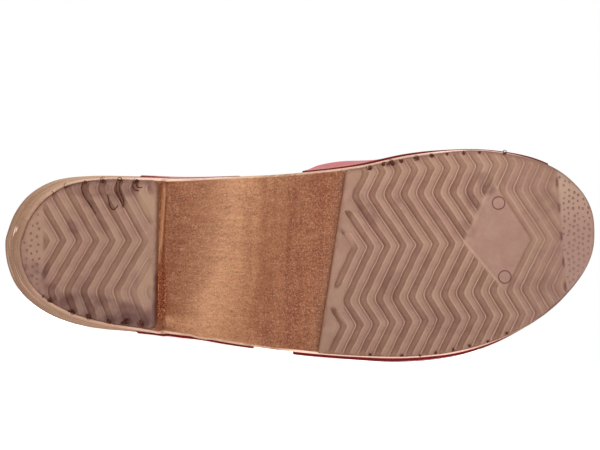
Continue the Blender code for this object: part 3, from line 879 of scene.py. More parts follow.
@dataclass
class ForefootTread(Tread):
    """The forefoot tread, with its plain lozenge, two ring marks and the dotted toe pad.

    Pairs are medial and lateral: back is x of the back corners, fuller how far the outline swells
    at x. pad_start is the x of the pad's rear edge and its change with y; slits are the y of the
    short slits along it.
    """

    name: str = "forefoot_rubber"
    bends: Table = (
        (-52, -6, -0.065, 1), (-34.7, 5.2, -0.065, 1.2), (-24.9, 0, -0.044, 3.2), (-2.9, 14.3, -0.044, 1),
        (20.1, 3.3, -0.07, 3.4), (30.6, 9.7, -0.065, 1.4), (52, -1.3, -0.065, 1),
    )
    pitch: float = 7.02
    inset: float = 0.3
    numbers: tuple[int, int] = (-4, 16)
    start: float = 156.7
    back: Pair = (153.2, 141.2)
    back_margin: float = 3.1
    fuller: tuple[Table, Table] = (
        ((146, -0.5), (153, -0.9), (168, -0.5), (178, -0.7), (194, -0.4), (207, 0.1), (240, 0)),
        ((204, 0), (218, 0.6), (232, 0.7), (244, 0)),
    )
    pad_start: Pair = (247.5, 0.082)
    filled: Table = ((154.4, -6.6, 4.4, 1.5, 60, 0.7), (151.3, 26.8, 4, 1.5, 56, 0.65))
    slits: tuple[float, ...] = (-31.0, -20.3, -7.8, 3.5, 14.2)
    label: Table = ((204.5, -5.2), (216.6, -31), (232.6, -7.2), (222.1, 15.6))
    ring_marks: Table = ((219.0, -22.0), (221.7, 9.9))
    stains: Table = (
        (213.8, -30.5, 5.5, 3.6, 62, 0.75), (208.6, -21.5, 6.5, 3, 55, 0.5), (205.5, -11, 5, 2.6, 60, 0.35),
        (178, -22, 7, 4, 55, 0.35), (162, -19, 7.5, 3, 60, 0.55), (172, 16, 9, 4, -60, 0.4),
        (196, 30, 12, 4, 10, 0.3), (236, 14, 8, 6, -40, 0.25), (240, -22, 6, 5, 60, 0.25),
        (172, -36, 22, 5, -12, -0.7), (204, -39, 20, 4, -2, -0.6), (190, -8, 9, 6, 55, -0.4),
        # The blot at (151.6, -9.6) is painted shade beside a rib cap at the back edge.
        (152, 5, 18, 5, 96, -0.2), (151.6, -9.6, 1.5, 1.1, 60, 0.9), (154.6, -17.6, 1.5, 1.1, 60, 0.7),
        (148, 24, 1.4, 1.1, 60, 0.4),
    )
    tufts: Table = (
        (163.4, -37.4, 1.4), (169.6, -38.6, 1.3), (172.4, -39, 1.6), (176.9, -40.2, 1.4),
        (183.5, -41.5, 1.5), (190, -42.6, 1.4), (196.6, -43.1, 0.8), (203.8, -43.6, 0.9),
        (210.9, -43.9, 0.8), (221.5, -44.1, 1), (163.4, 43.5, 0.9), (177.2, 44, 0.8), (185, 43.7, 0.7),
        (191.9, 42.6, 0.9), (199.4, 41.4, 0.8), (206.6, 39.6, 0.8), (214.3, 37.8, 0.8), (222.6, 34.4, 0.9),
    )

    def outline(self, inset: float) -> Array:
        """The outline from the medial back corner round the toe to the lateral back corner.

        Args:
            inset: How far it is moved in.

        Returns:
            (n, 2) corners.
        """
        sides = []
        for side in Side:
            start = float(LAST.foot_position(side, side.pick(self.back)))
            u = start + (LAST.end - start) * np.linspace(0, 1, 170) ** 0.92
            fuller = read(side.pick(self.fuller), LAST.rim_x(u))
            sides.append(np.stack(LAST.side_point(side, u, 0, inset - fuller), axis=1))
        return np.concatenate((sides[0], sides[1][-2::-1]))

    def back_edge(self, y: Array) -> Array:
        """x of the straight back edge at y."""
        corners = zip(Side, self.back)
        y0, y1 = (float(LAST.side_point(side, LAST.foot_position(side, x), 0)[1]) for side, x in corners)
        return self.back[0] + (self.back[1] - self.back[0]) * (y - y0) / (y1 - y0)

    def past_pad(self, x: Array, y: Array) -> Array:
        """How far places lie beyond the pad's slanting rear edge."""
        return x - self.pad_start[0] - self.pad_start[1] * y

    def past_margin(self, middle: Array, y: Array) -> Array:
        """How far a groove's middle lies beyond the plain margin along the back edge."""
        return middle - self.back_edge(y) - self.back_margin

    def groove_share(self, x: Array, y: Array, phase: Array) -> Array:
        """Full depth over most of the tread; less towards the toe, none on margin, lozenge and pad.

        Args:
            x: Places along the shoe.
            y: Places across it.
            phase: Signed share of a pitch off a groove.

        Returns:
            Shares of the full depth.
        """
        blunt = 0.45 * np.minimum((phase / 0.2) ** 2, 1.6)
        margin = ease(0.15, 0.5, self.past_margin(x - phase * self.pitch, y) - blunt)
        pad = 1 - ease(-1.2, -0.1, self.past_pad(x, y))
        outside, _, _ = to_outline(np.stack((x, y), axis=1), np.array(self.label))
        ahead = ease(-2, 4, x - self.label[1][0] - 0.1 * (y + 8))
        label = ease(0.5 - 0.7 * ahead, 1.8 - 0.9 * ahead, -outside)
        toward_toe = ease(0, 1, (x - 198) / 50 - (y + 6) / 170)
        return margin * pad * label * (1 - 0.7 * toward_toe) * (1 - blots(self.filled, x, y))

    def lined(self, x: Array, y: Array, phase: Array) -> Array:
        """No painted highlight or shade lines between the plain margin and a groove that has no other behind
        it.
        """
        behind = self.past_margin(x - (phase + 1.0) * self.pitch, y)
        return np.where(phase < -0.19, ease(0.15, 0.5, behind), 1)

    def pad_share(self, x: Array, y: Array) -> Array:
        """The toe pad beyond its slanting rear edge."""
        return ease(-0.3, 0.6, self.past_pad(x, y))

    def details(self, points: Array, tints: dict[str, Array]) -> None:
        """Raises the lozenge's border, cuts the slits and marks the lozenge in the attribute "label"; paints
        a highlight along the border and shade in the slits.

        Args:
            points: The face's points, changed in place.
            tints: The face's attributes, changed in place.
        """
        x, y = points[:, 0], points[:, 1]
        inside, _, _ = to_outline(points[:, :2], np.array(self.label))
        tints["label"] = np.clip(inside, -6, 6)
        points[:, 2] -= 0.16 * hump(inside, -0.1, 0.5) * (1 - ease(222, 232, x))
        points[:, 2] += 0.12 * ease(0.5, 1.6, inside)
        # Painted highlight along the lozenge's raised border.
        tints["tone"] += 0.8 * hump(inside, -0.2, 0.34) * (1 - ease(216, 224, x))
        for middle in self.slits:
            slit = hump(self.past_pad(x, y), -0.2, 0.48) * (1 - ease(0.9, 3, np.abs(y - middle)))
            # Painted shade in the slit.
            tints["tone"] -= 1.3 * slit
            points[:, 2] += 0.5 * slit
        tints["edge"] = tints["edge"] + 2 * (1 - ease(0.5, 2, x - self.back_edge(y)))


@dataclass
class HeelTread(Tread):
    """The heel tread, with its straight front edge, rounded front corners and dotted rear pad."""

    name: str = "heel_rubber"
    bends: Table = (
        (-42, -6.1, 0, 1.2), (-28.2, -12.5, 0, 3), (-5.9, 0, 0, 1), (15.9, -12.8, 0, 3.4), (42, -2.4, 0, 1.2),
    )
    pitch: float = 7.1
    numbers: tuple[int, int] = (-4, 8)
    start: float = 31.2
    corner: float = 3.5
    pad_end: float = 22.6
    stains: Table = (
        (51.4, 24.5, 26, 5.4, 12, 0.9), (60, 29.5, 12, 3.6, 8, 0.6), (50.5, -29, 25, 4.6, -2, 0.62),
        (28.2, 18, 7, 3, 52, 0.75), (23.6, 7.5, 4, 1.4, 108, 0.7), (20.6, 17, 5, 1.6, 50, 0.4),
        (71, 15, 19, 1.7, 90, 0.6), (71.2, -6, 4, 1.2, 90, 0.3), (19, 9, 7.5, 4.5, 55, 0.65),
        (14.4, 0, 9, 1.8, 90, 0.35), (35.4, -11.8, 3.6, 2.2, 60, 0.85), (44.6, -16.8, 9, 3, 60, 0.45),
        (52.3, -25.3, 5.2, 2.3, 66, 0.5), (38, 15, 7, 4, -55, 0.35), (31, -19.5, 6, 1.6, 60, -0.7),
        (33, -24, 8, 4, 50, -0.3), (56, 3, 8, 4, -50, -0.25), (67, -22.5, 6.5, 3.2, 74, -1.1),
        (66.8, 12.5, 9, 3, 92, -1.1), (71.4, 21, 12, 1.8, 90, 0.8),
    )
    smooth_patches: Table = ((67.4, -23, 7.5, 3, 72, 0.9), (66.6, 11, 9.5, 3.4, 84, 0.9))
    front_margin: float = 3.2
    line_share: float = 0.7
    pad_tone: float = 0.62
    dot_shades: Pair = (-0.45, -0.8)
    tufts: Table = (
        (26.6, -26.2, 0.7), (32.5, -29.3, 1.1), (40.8, -31.1, 0.9), (48.2, -31.8, 1.4), (55.7, -32.2, 1.2),
        (62.8, -31.6, 1.3), (22.5, 18.2, 0.8), (25.4, 20.3, 1.5), (35.1, 25.3, 1.4), (41.9, 27, 1.6),
        (50.8, 29.2, 1.2), (57.9, 29.4, 1.6), (64.6, 30, 1.6),
    )
    threads: tuple[Table, ...] = (
        ((54.4, -30.9), (54.1, -27.6), (55.1, -25), (56.3, -22), (57, -20)),
        ((55.8, -31.6), (55.3, -28.7), (56.1, -25.7), (57.3, -22.8), (57.1, -20)),
        ((50.2, -25.6), (50.8, -23), (51.5, -20.4), (52.9, -19.1), (54.2, -20.1), (54.9, -21.2)),
        ((61.6, -31), (61.2, -29.2), (62.2, -27.5), (64, -27.2)),
        ((63, -31.2), (62.8, -29.8), (63.8, -28.6), (65.4, -28.8)),
        ((39.6, -31), (39.2, -27.8), (40.6, -24.2), (43.4, -20.4), (45.4, -17.2)),
    )

    def outline(self, inset: float) -> Array:
        """The outline from the back of the heel along the medial side, the front edge and back.

        Within the corner round r of the front the sides move in by r - sqrt(r^2 - into^2).

        Args:
            inset: How far it is moved in.

        Returns:
            (n, 2) corners.
        """
        front = LAST.heel_front - inset
        tip = np.linspace(0.001, 1.6, 40)
        turn = front - self.corner * np.linspace(0.95, 0, 14) ** 2
        x = np.concatenate((np.linspace(16, front - self.corner, 60), turn))
        sides = []
        for side in Side:
            u = np.concatenate((tip, LAST.foot_position(side, x)))
            u = np.sort(u[u < 10])
            into = np.clip(self.corner - (front - LAST.side_point(side, u, 0)[0]), 0, self.corner)
            drawn_in = self.corner - np.sqrt(self.corner**2 - into**2)
            sides.append(np.stack(LAST.side_point(side, u, 0, inset + drawn_in), axis=1))
        x, y = np.concatenate((sides[0], sides[1][:0:-1])).T
        back, lateral = 0.5 * (1 - ease(10, 30, x)), 0.8 * (1 - ease(10, 34, x))
        return np.stack((x + LAST.skew(x, y) - back, y + lateral), axis=1)

    def groove_share(self, x: Array, y: Array, phase: Array) -> Array:
        """Full depth between the pad and the front margin, less in the last groove before the margin.

        Args:
            x: Places along the shoe.
            y: Places across it.
            phase: Signed share of a pitch off a groove.

        Returns:
            Shares of the full depth.
        """
        blunt = 1.2 * np.minimum((phase / 0.2) ** 2, 1.6)
        front = LAST.heel_front - self.front_margin - x - blunt
        last = ease(60, 66, x + 0.55 * (np.abs(y + 6) - 6))
        return ease(0, 1.2, front) * ease(-0.4, 1.2, x - self.pad_end) * (1 - 0.45 * last)

    def pad_share(self, x: Array, y: Array) -> Array:
        """The pad behind the first grooves."""
        return self.pad_tone * (1 - ease(-0.6, 0.6, x - self.pad_end + 0.3))


# ---- the wooden sole


@dataclass
class WoodenSole:
    """The wooden sole as one dense loft: underside, sides with rounded edges, rim and dished footbed.

    pale and rust are marks on the underside. swell is how far the lateral side's foot stands
    out at x. sheen is the arch's painted highlight band by the distance from sheen_line, and
    sheen_gain its strength, both by y. lit is how pale the strip over the lower edge is at x, medial and
    lateral.
    """

    rim_round: float = 2.4
    edge_round: float = 1.2
    dish_power: float = 2.6
    tip_rows: int = 3
    tip_stations: int = 58
    spacing: float = 1.6
    edge_points: int = 5
    side_points: int = 15
    rim_points: int = 6
    under_points: int = 56
    bed_points: int = 40
    pale: Table = ((81, 31, 7, 3.4, 8, 0.35), (75.5, 29, 1.6, 1.6, 0, 0.5))
    rust: Table = (
        (72.4, 17, 1.7, 11.5, 0, 1), (73.9, 15, 1.2, 9, -4, 0.5), (72.6, 24, 2, 5, 8, 0.6),
        (72.6, 4, 0.9, 7, 4, 0.6), (72.9, -16, 0.6, 14, 3, 0.4),
    )
    swell: Table = (
        (60, 0), (70, 0.45), (81, 0.95), (85, 0.7), (87.5, 1.2), (91, 1.2), (94, 0.55), (112, 0.4),
        (122, 0.4), (131, 0.1), (150, 0.2), (190, 0.2), (204, 0.5), (214, 0.75), (232, 0.8), (243, 0.3),
        (250, 0),
    )
    # The arch's painted highlight band: its middle line, its strength by y and its profile across.
    sheen_line: Table = ((-33, 104), (-13, 103.4), (7, 98), (16, 94.6), (31, 90.8), (38, 90))
    sheen_gain: Table = ((-32, 0.94), (-5, 0.94), (6, 1), (15, 1.14), (36, 1.12))
    sheen: Table = (
        (-28, 0.05), (-21, 0.1), (-15, 0.2), (-10.5, 0.3), (-5.3, 0.5), (-1, 0.86), (3, 1), (7, 0.9),
        (12, 0.74), (16, 0.62), (21, 0.44), (27, 0.28), (34, 0.14), (40, 0.06), (48, 0.1),
    )
    lit: tuple[Table, Table] = (
        (
            (20, 0.05), (56, 0.12), (64, 0.42), (84, 0.38), (100, 0.2), (112, 0.08), (134, 0.05),
            (150, 0.14), (186, 0.26), (196, 0.62), (219, 0.6), (226, 0.3), (245, 0.15),
        ),
        (
            (20, 0.05), (50, 0.12), (62, 0.36), (72, 0.26), (84, 0.14), (96, 0.1), (126, 0.1), (132, 0.6),
            (170, 0.68), (190, 0.6), (204, 0.42), (214, 0.2), (224, 0.05), (246, 0),
        ),
    )

    def stations(self) -> Array:
        """Table positions of the sections, close together at the tips and at the breast.

        Returns:
            The positions, rising.
        """
        tip = self.tip_rows * (np.linspace(0, 1, self.tip_stations) ** 1.6)
        tip[0] = 1e-4
        front, head = LAST.heel_front, LAST.heel_front + LAST.breast_lean
        rows = LAST.column(0)
        x = (
            np.arange(rows[self.tip_rows] + self.spacing, front - 0.8, self.spacing),
            front + np.array((-0.5, -0.15, 0.0)),
            np.linspace(front, head, 7)[1:],
            head + np.array((0.15, 0.6, 1.3)),
            np.arange(head + 2.6, rows[-1 - self.tip_rows] - self.spacing / 2, self.spacing),
        )
        return np.concatenate((tip, LAST.position(np.concatenate(x)), LAST.end - tip[::-1]))

    def side(self, side: Side, u: Array) -> Array:
        """One side's points at every station, from the underside's edge over the rim to the footbed.

        The lower edge is rounded by (r - r sin a, r - r cos a), the rim by (R - R cos a, R - R + R sin a).

        Args:
            side: Which side.
            u: Table positions of the stations.

        Returns:
            (stations, points, 3) points.
        """
        u = u[:, None]
        top = LAST.rim_height(u)
        foot = LAST.underside(*LAST.side_point(side, u, 0))
        corner = np.linspace(0, math.pi / 2, self.edge_points)[None, :]
        wall = np.linspace(0, 1, self.side_points + 2)[None, 1:-1]
        rim = np.linspace(0, math.pi / 2, self.rim_points)[None, :]
        low, high = foot + self.edge_round, top - self.rim_round
        rounding, climb = self.edge_round * (1 - np.cos(corner)), self.rim_round * np.sin(rim)
        z = np.concatenate((foot + rounding, low + (high - low) * wall, high + climb), axis=1)
        inset = (self.edge_round * (1 - np.sin(corner)), 0.0 * wall, self.rim_round * (1 - np.cos(rim)))
        inset = np.broadcast_to(np.concatenate(inset, axis=1), z.shape)
        share = np.clip((z - foot) / (high - foot), 0, 1)
        if side is Side.LATERAL:
            inset = inset - read(self.swell, LAST.rim_x(u)) * (1 - share)
        u = np.broadcast_to(u, z.shape)
        x, y = LAST.side_point(side, u, share, inset)
        under = LAST.underside(*LAST.side_point(side, u, 0, inset))
        z[:, : self.edge_points] += (under - foot)[:, : self.edge_points]
        return np.stack((x, y, z), axis=-1)

    def rings(self, u: Array) -> Array:
        """The whole loft: at each station a ring over underside, lateral side, footbed and medial side.

        Args:
            u: Table positions of the stations.

        Returns:
            (stations, points, 3) points.
        """
        medial, lateral = self.side(Side.MEDIAL, u), self.side(Side.LATERAL, u)
        share = np.linspace(0, 1, self.under_points + 2)[None, 1:-1, None]
        under = medial[:, :1] + (lateral[:, :1] - medial[:, :1]) * share
        under[..., 2] = LAST.underside(under[..., 0], under[..., 1])
        share = np.linspace(0, 1, self.bed_points + 2)[None, 1:-1, None]
        bed = lateral[:, -1:] + (medial[:, -1:] - lateral[:, -1:]) * share
        bed[..., 2] -= LAST.dish(u)[:, None] * (1 - np.abs(2 * share[..., 0] - 1) ** self.dish_power)
        rings = np.concatenate((medial[:, :1], under, lateral, bed, medial[:, :0:-1]), axis=1)
        rings[..., 0] += LAST.skew(rings[..., 0], rings[..., 1]) * (1 - ease(18, 34, rings[..., 2]))
        return rings

    def surface(self) -> Surface:
        """The closed sole.

        Returns:
            The surface; "under" is 1 below and 0 elsewhere, "bed" 1 on the footbed, "brow" 1 under the
            rim, "lit" 1 on the pale strip over the lower edge, "grime" dark on the toe's lower edge,
            "sheen" 1 on the arch's painted highlight band, "pale" the marks on the underside and a painted
            highlight along the heel's front, "rust" the rust marks and painted shade just ahead of that
            line and behind the forefoot tread, and "gloss" 1 on the underside but for the heel's steep front.
        """
        u = self.stations()
        rings = self.rings(u)
        around = rings.shape[1]
        sides = self.edge_points + self.side_points + self.rim_points
        first = 1 + self.under_points
        wall, flat, bed = np.zeros((3, around))
        wall[first : first + sides] = wall[around - sides + 1 :] = 1.0
        flat[: first + 1] = 1.0
        bed[first + sides - 3 : first + sides + self.bed_points + 3] = 1.0
        x, y, z = np.moveaxis(rings, -1, 0)
        above = z - LAST.underside(x, y)
        front = LAST.heel_front + LAST.skew(x, y)
        line = front + 0.75 - 0.95 * (y + 27.0) / 36.0
        upper = (1 - ease(2, 9, y)) * ease(-32, -26, y) * flat
        # ridge paints a highlight line along the heel's front edge, with a fainter band of painted light just
        # beyond it.
        ridge = (2.2 * hump(x, line, 0.4) + 0.2 * hump(x, line + 1.4, 0.8)) * upper
        # shadow paints shade just ahead of the heel's front line.
        shadow = 0.25 * hump(x, line + 0.95, 0.35) * upper
        # behind_tread paints shade on the wood along the forefoot tread's back edge.
        behind_tread = hump(x, ForefootTread().back_edge(y) - 0.2, 0.9)
        tints = {
            "under": np.broadcast_to(flat, x.shape),
            "bed": np.broadcast_to(bed, x.shape),
            "brow": ease(5.5, 2.6, LAST.rim_height(u)[:, None] - z) * wall,
            "grime": 0.8 * ease(222, 240, x) * ease(9, 3.5, above) * (1 - flat),
            "lit": np.max([self.lit_edge(side, x, y, above) for side in Side], axis=0) * (1 - flat),
            # The pale mark also carries the painted highlight on the heel's front, and the rust mark painted
            # shade.
            "pale": ridge + flat * blots(self.pale, x, y),
            "rust": flat * (blots(self.rust, x, y) + 0.55 * behind_tread) + shadow,
            "gloss": flat * (1 - hump(x, front + 0.7, 1.3, 4)),
            "sheen": read(self.sheen, x - read(self.sheen_line, y)) * read(self.sheen_gain, y),
        }
        caps = self.cap(0, around, False), self.cap((len(u) - 1) * around, around, True)
        quads = np.concatenate((grid_quads(len(u), around, wrap=True), *caps))
        tints = {name: values.reshape(-1) for name, values in tints.items()}
        return Surface(rings.reshape(-1, 3), quads, tints)

    def cap(self, first: int, around: int, turned: bool) -> Array:
        """Quads that close an end ring by joining its two sides point by point.

        Args:
            first: Number of the ring's first point.
            around: Points in the ring.
            turned: Whether they face the other way.

        Returns:
            (n, 4) point numbers.
        """
        half = (around - self.under_points - self.bed_points) // 2
        left = first + (around - np.arange(half)) % around
        right = first + 1 + self.under_points + np.arange(half)
        quads = [np.stack((left[:-1], right[:-1], right[1:], left[1:]), axis=1)]
        for start, count, a, b in (
            (first + 1, self.under_points, left[0], right[0]),
            (first + 1 + self.under_points + half, self.bed_points, right[-1], left[-1]),
        ):
            chain = np.concatenate(([a], start + np.arange(count), [b]))
            middle = len(chain) // 2
            ahead, behind = chain[:middle], chain[::-1][:middle]
            quads.append(np.stack((ahead[:-1], ahead[1:], behind[1:], behind[:-1]), axis=1))
        return np.concatenate(quads)[:, ::-1] if turned else np.concatenate(quads)

    def lit_edge(self, side: Side, x: Array, y: Array, above: Array) -> Array:
        """How pale the strip over the sole's lower edge is on one side, by the table lit."""
        return read(side.pick(self.lit), x) * (1 - ease(5.5, 9, above)) * (y * side.value > 15)


# ---- the leather


@dataclass
class Leather:
    """A sheet of leather: how its grid is dented and how its edges are stitched.

    creases holds a row for each crease, a soft trough with a low ridge beside it: where it starts
    and ends, across from -1 to 1 and along from 0 to 1, and its depth and width in millimetres.
    spans is the sheet's size across and along. The seams run on two lines of the grid, seam_lines,
    counted along its axis seam_axis, from the first to the last point of seam_run.
    """

    thickness: float = 2.4
    bulge: float = 0.75
    creases: Table = ()
    spans: Pair = (62.0, 92.0)
    seam_axis: int = 0
    seam_lines: tuple[int, int] = (4, -6)
    seam_run: tuple[int, int] = (30, -24)
    stitch_pitch: float = 3.1
    stitch_length: float = 2.3
    thread: float = 0.33

    def face(self) -> Array:
        """The outer face's grid of points; each sheet has its own."""
        raise NotImplementedError

    def flex(self) -> Array:
        """How much the leather bends at each point of the grid, 0 to 1; each sheet has its own."""
        raise NotImplementedError

    def surface(self) -> Surface:
        """The closed sheet; "flex" is 1 where it bends most."""
        return sheet(self.face(), self.thickness, self.bulge, self.flex())

    def dent(self, across: Array, along: Array) -> Array:
        """Depth of all creases at the grid's points: depth * (exp(-s^2) - 0.45 exp(-(s - 1.9)^2)).

        Args:
            across: Each point's place across, -1 to 1.
            along: Each point's place along, 0 to 1.

        Returns:
            The depth at each point in millimetres.
        """
        total = np.zeros(across.shape)
        for start_across, start_along, end_across, end_along, depth, width in self.creases:
            start = np.multiply((start_across, start_along), self.spans)
            run = np.multiply((end_across, end_along), self.spans) - start
            length = math.hypot(*run)
            dx, dy = across * self.spans[0] - start[0], along * self.spans[1] - start[1]
            share = (dx * run[0] + dy * run[1]) / length**2
            offset = (dx * run[1] - dy * run[0]) / length
            offset = offset + 0.06 * length * np.sin(math.pi * share)
            reach = ease(-0.25, 0.2, share) * (1 - ease(0.8, 1.25, share))
            total += depth * reach * (hump(offset, 0, width) - 0.45 * hump(offset / width, 1.9, 1))
        return total

    def stitches(self, line: Array, normal: Array) -> Surface:
        """A row of separate thread stitches, arched tubes, along a line that lies on the leather.

        Args:
            line: (n, 3) points of the line.
            normal: (n, 3) outward normals there.

        Returns:
            The stitches as one surface.
        """
        run = np.concatenate(([0.0], np.cumsum(np.linalg.norm(np.diff(line, axis=0), axis=1))))
        count = int(run[-1] // self.stitch_pitch)
        centres = (np.arange(count) + 0.5) * run[-1] / count
        shares = np.linspace(-0.5, 0.5, 7)
        at = centres[:, None] + shares[None, :] * self.stitch_length
        path, out = (
            np.stack([np.interp(at, run, column) for column in grid.T], axis=-1) for grid in (line, normal)
        )
        arch = 0.75 * self.thread * np.cos(shares * math.pi)[None, :, None] - 0.35 * self.thread
        path = path + out * arch
        ahead = unit(np.gradient(path, axis=1))
        beside = unit(np.cross(ahead, out))
        up = np.cross(beside, ahead)
        angle = ring_angles(8)
        swell = self.thread * np.array((0.0, 0.8, 1.0, 1.0, 1.0, 0.8, 0.0))
        ring = beside[:, :, None] * np.cos(angle) + up[:, :, None] * np.sin(angle)
        return many(path[:, :, None] + ring * swell[None, :, None, None])

    def seams(self) -> Surface:
        """A row of stitches on each of the two seam lines."""
        face = self.face()
        run = slice(*self.seam_run)
        grids = (np.moveaxis(grid, self.seam_axis, 0) for grid in (face, normals_of(face)))
        lines, normals = (grid[list(self.seam_lines), run] for grid in grids)
        return self.stitches(lines[0], normals[0]).joined(self.stitches(lines[1], normals[1]))


@dataclass
class Vamp(Leather):
    """The leather over the forefoot, open at throat and toe.

    rows holds a line for each station: x, crown above the rim, the crown's y, fullness of the medial
    and the lateral side, squareness of the arch, and how proud of the wood each side is. back and
    front give x at the medial edge, the lateral edge and the crown.
    """

    lift: float = 7.2
    level_from: float = 138.0
    widest: float = 8.0
    wall: float = 0.26
    edge_power: float = 1.3
    back: Triple = (134.7, 130.6, 163.0)
    front: Triple = (242.0, 241.0, 221.0)
    grid: tuple[int, int] = (116, 168)
    rows: Table = (
        (128, 66, -3, 0.4, 0.3, 0.95, 0.9, 1.5), (140, 58.9, -3.5, 2.2, 0.4, 0.934, 0.75, 1.5),
        (150, 53, -4, 3.3, 0.5, 0.92, 0.8, 1.5), (160, 48, -4.5, 1.9, 0.65, 0.9, 1, 1.5),
        (170, 43, -5, -0.1, 0.8, 0.88, 1.15, 1.8), (186, 36.4, -6.2, -0.3, 1.1, 0.83, 0.95, 1.6),
        (198, 32.3, -7.1, -0.3, 1.1, 0.79, 0.5, 1.5), (208, 29.6, -7.9, -0.2, 0.95, 0.77, 0.5, 1.9),
        (218, 27.2, -8.5, -0.2, 0.7, 0.74, 0.5, 1.95), (228, 25.5, -9, -0.2, 0.5, 0.72, 0.7, 1.4),
        (238, 24.4, -9.3, -0.1, 0.45, 0.71, 0.9, 1.1), (246, 23.5, -9.5, -0.1, 0.4, 0.7, 0.6, 1),
    )
    creases: Table = (
        (-0.52, 0.62, 0.34, 0.56, 0.85, 3.6), (-0.4, 0.76, 0.42, 0.7, 0.65, 3),
        (-0.3, 0.47, 0.2, 0.44, 0.5, 3.2), (0.3, 0.5, 0.66, 0.6, 0.6, 2.8),
        (-0.66, 0.7, -0.4, 0.56, 0.55, 2.8), (-0.1, 0.88, 0.36, 0.84, 0.35, 2.4),
        (0.46, 0.74, 0.72, 0.8, 0.4, 2.4),
    )

    def point(self, x: Array, v: Array) -> Array:
        """The outer face: walls that lean with the wood, and over them an arch of squared cosines.

        Args:
            x: Places along the shoe.
            v: Places across it, -1 at the medial edge to 1 at the lateral edge.

        Returns:
            (..., 3) points.
        """
        rows = np.array(self.rows, float)
        crown, ridge, medial_full, lateral_full, square, medial_proud, lateral_proud = (
            rounded(rows[:, 0], values, x, 10, 7) for values in rows.T[1:]
        )
        u = LAST.position(x)
        medial = v < 0
        feet = [LAST.side_point(side, u, 0)[1] for side in Side]
        foot = np.where(medial, *feet)
        rim = np.where(medial, *(LAST.rim_y(side, u) for side in Side))
        top = LAST.rim_height(u)
        low = LAST.underside(np.maximum(x, self.level_from), foot) + self.lift
        widest, crown = top + self.widest, top + crown
        full = np.where(medial, medial_full, lateral_full)
        proud = np.where(medial, medial_proud, lateral_proud)
        share = np.clip((np.abs(v) - (1 - self.wall)) / self.wall, 0, 1)
        height = low + (widest - low) * (1 - share)
        wood_low = LAST.underside(x, foot)
        slope = (rim - foot) / (top - wood_low)
        at_height = np.where(height < top, foot + slope * (height - wood_low), rim)
        sign = np.where(medial, -1.0, 1.0)
        wall_y = at_height + sign * (proud + full * ease(low, widest, height))
        edge_y = rim + sign * (proud + full)
        angle = np.clip(1 - np.abs(v) / (1 - self.wall), 0, 1) * math.pi / 2
        arch_y = ridge + (edge_y - ridge) * np.cos(angle) ** square
        arch_z = widest + (crown - widest) * np.sin(angle) ** square
        on_wall = share > 0
        return np.stack((x, np.where(on_wall, wall_y, arch_y), np.where(on_wall, height, arch_z)), axis=-1)

    def places(self) -> tuple[Array, Array]:
        """Each grid point's place across, -1 to 1, and along, 0 to 1."""
        rows, columns = self.grid
        return np.meshgrid(np.linspace(-1, 1, columns + 1), np.linspace(0, 1, rows + 1))

    def face(self) -> Array:
        """The outer face with its creases, which stay off the edges.

        Returns:
            (rows, columns, 3) points.
        """
        across, along = self.places()
        over = np.cos(across * math.pi / 2) ** self.edge_power
        share = (across + 1) / 2
        ends = []
        for medial, lateral, crown in (self.back, self.front):
            edge = medial * (1 - share) + lateral * share
            ends.append(edge + (crown - edge) * over)
        face = self.point(ends[0] + (ends[1] - ends[0]) * along, across)
        calm = ease(0, 0.16, 0.88 - np.abs(across)) * ease(0, 0.1, along) * (1 - ease(0.9, 1, along))
        return face - normals_of(face) * (self.dent(across, along) * calm)[..., None]

    def flex(self) -> Array:
        """Where the vamp bends: over the ball of the foot, but for its lower edges."""
        across, along = self.places()
        return hump(along, 0.64, 0.2) * (1 - ease(0.6, 0.9, np.abs(across)))


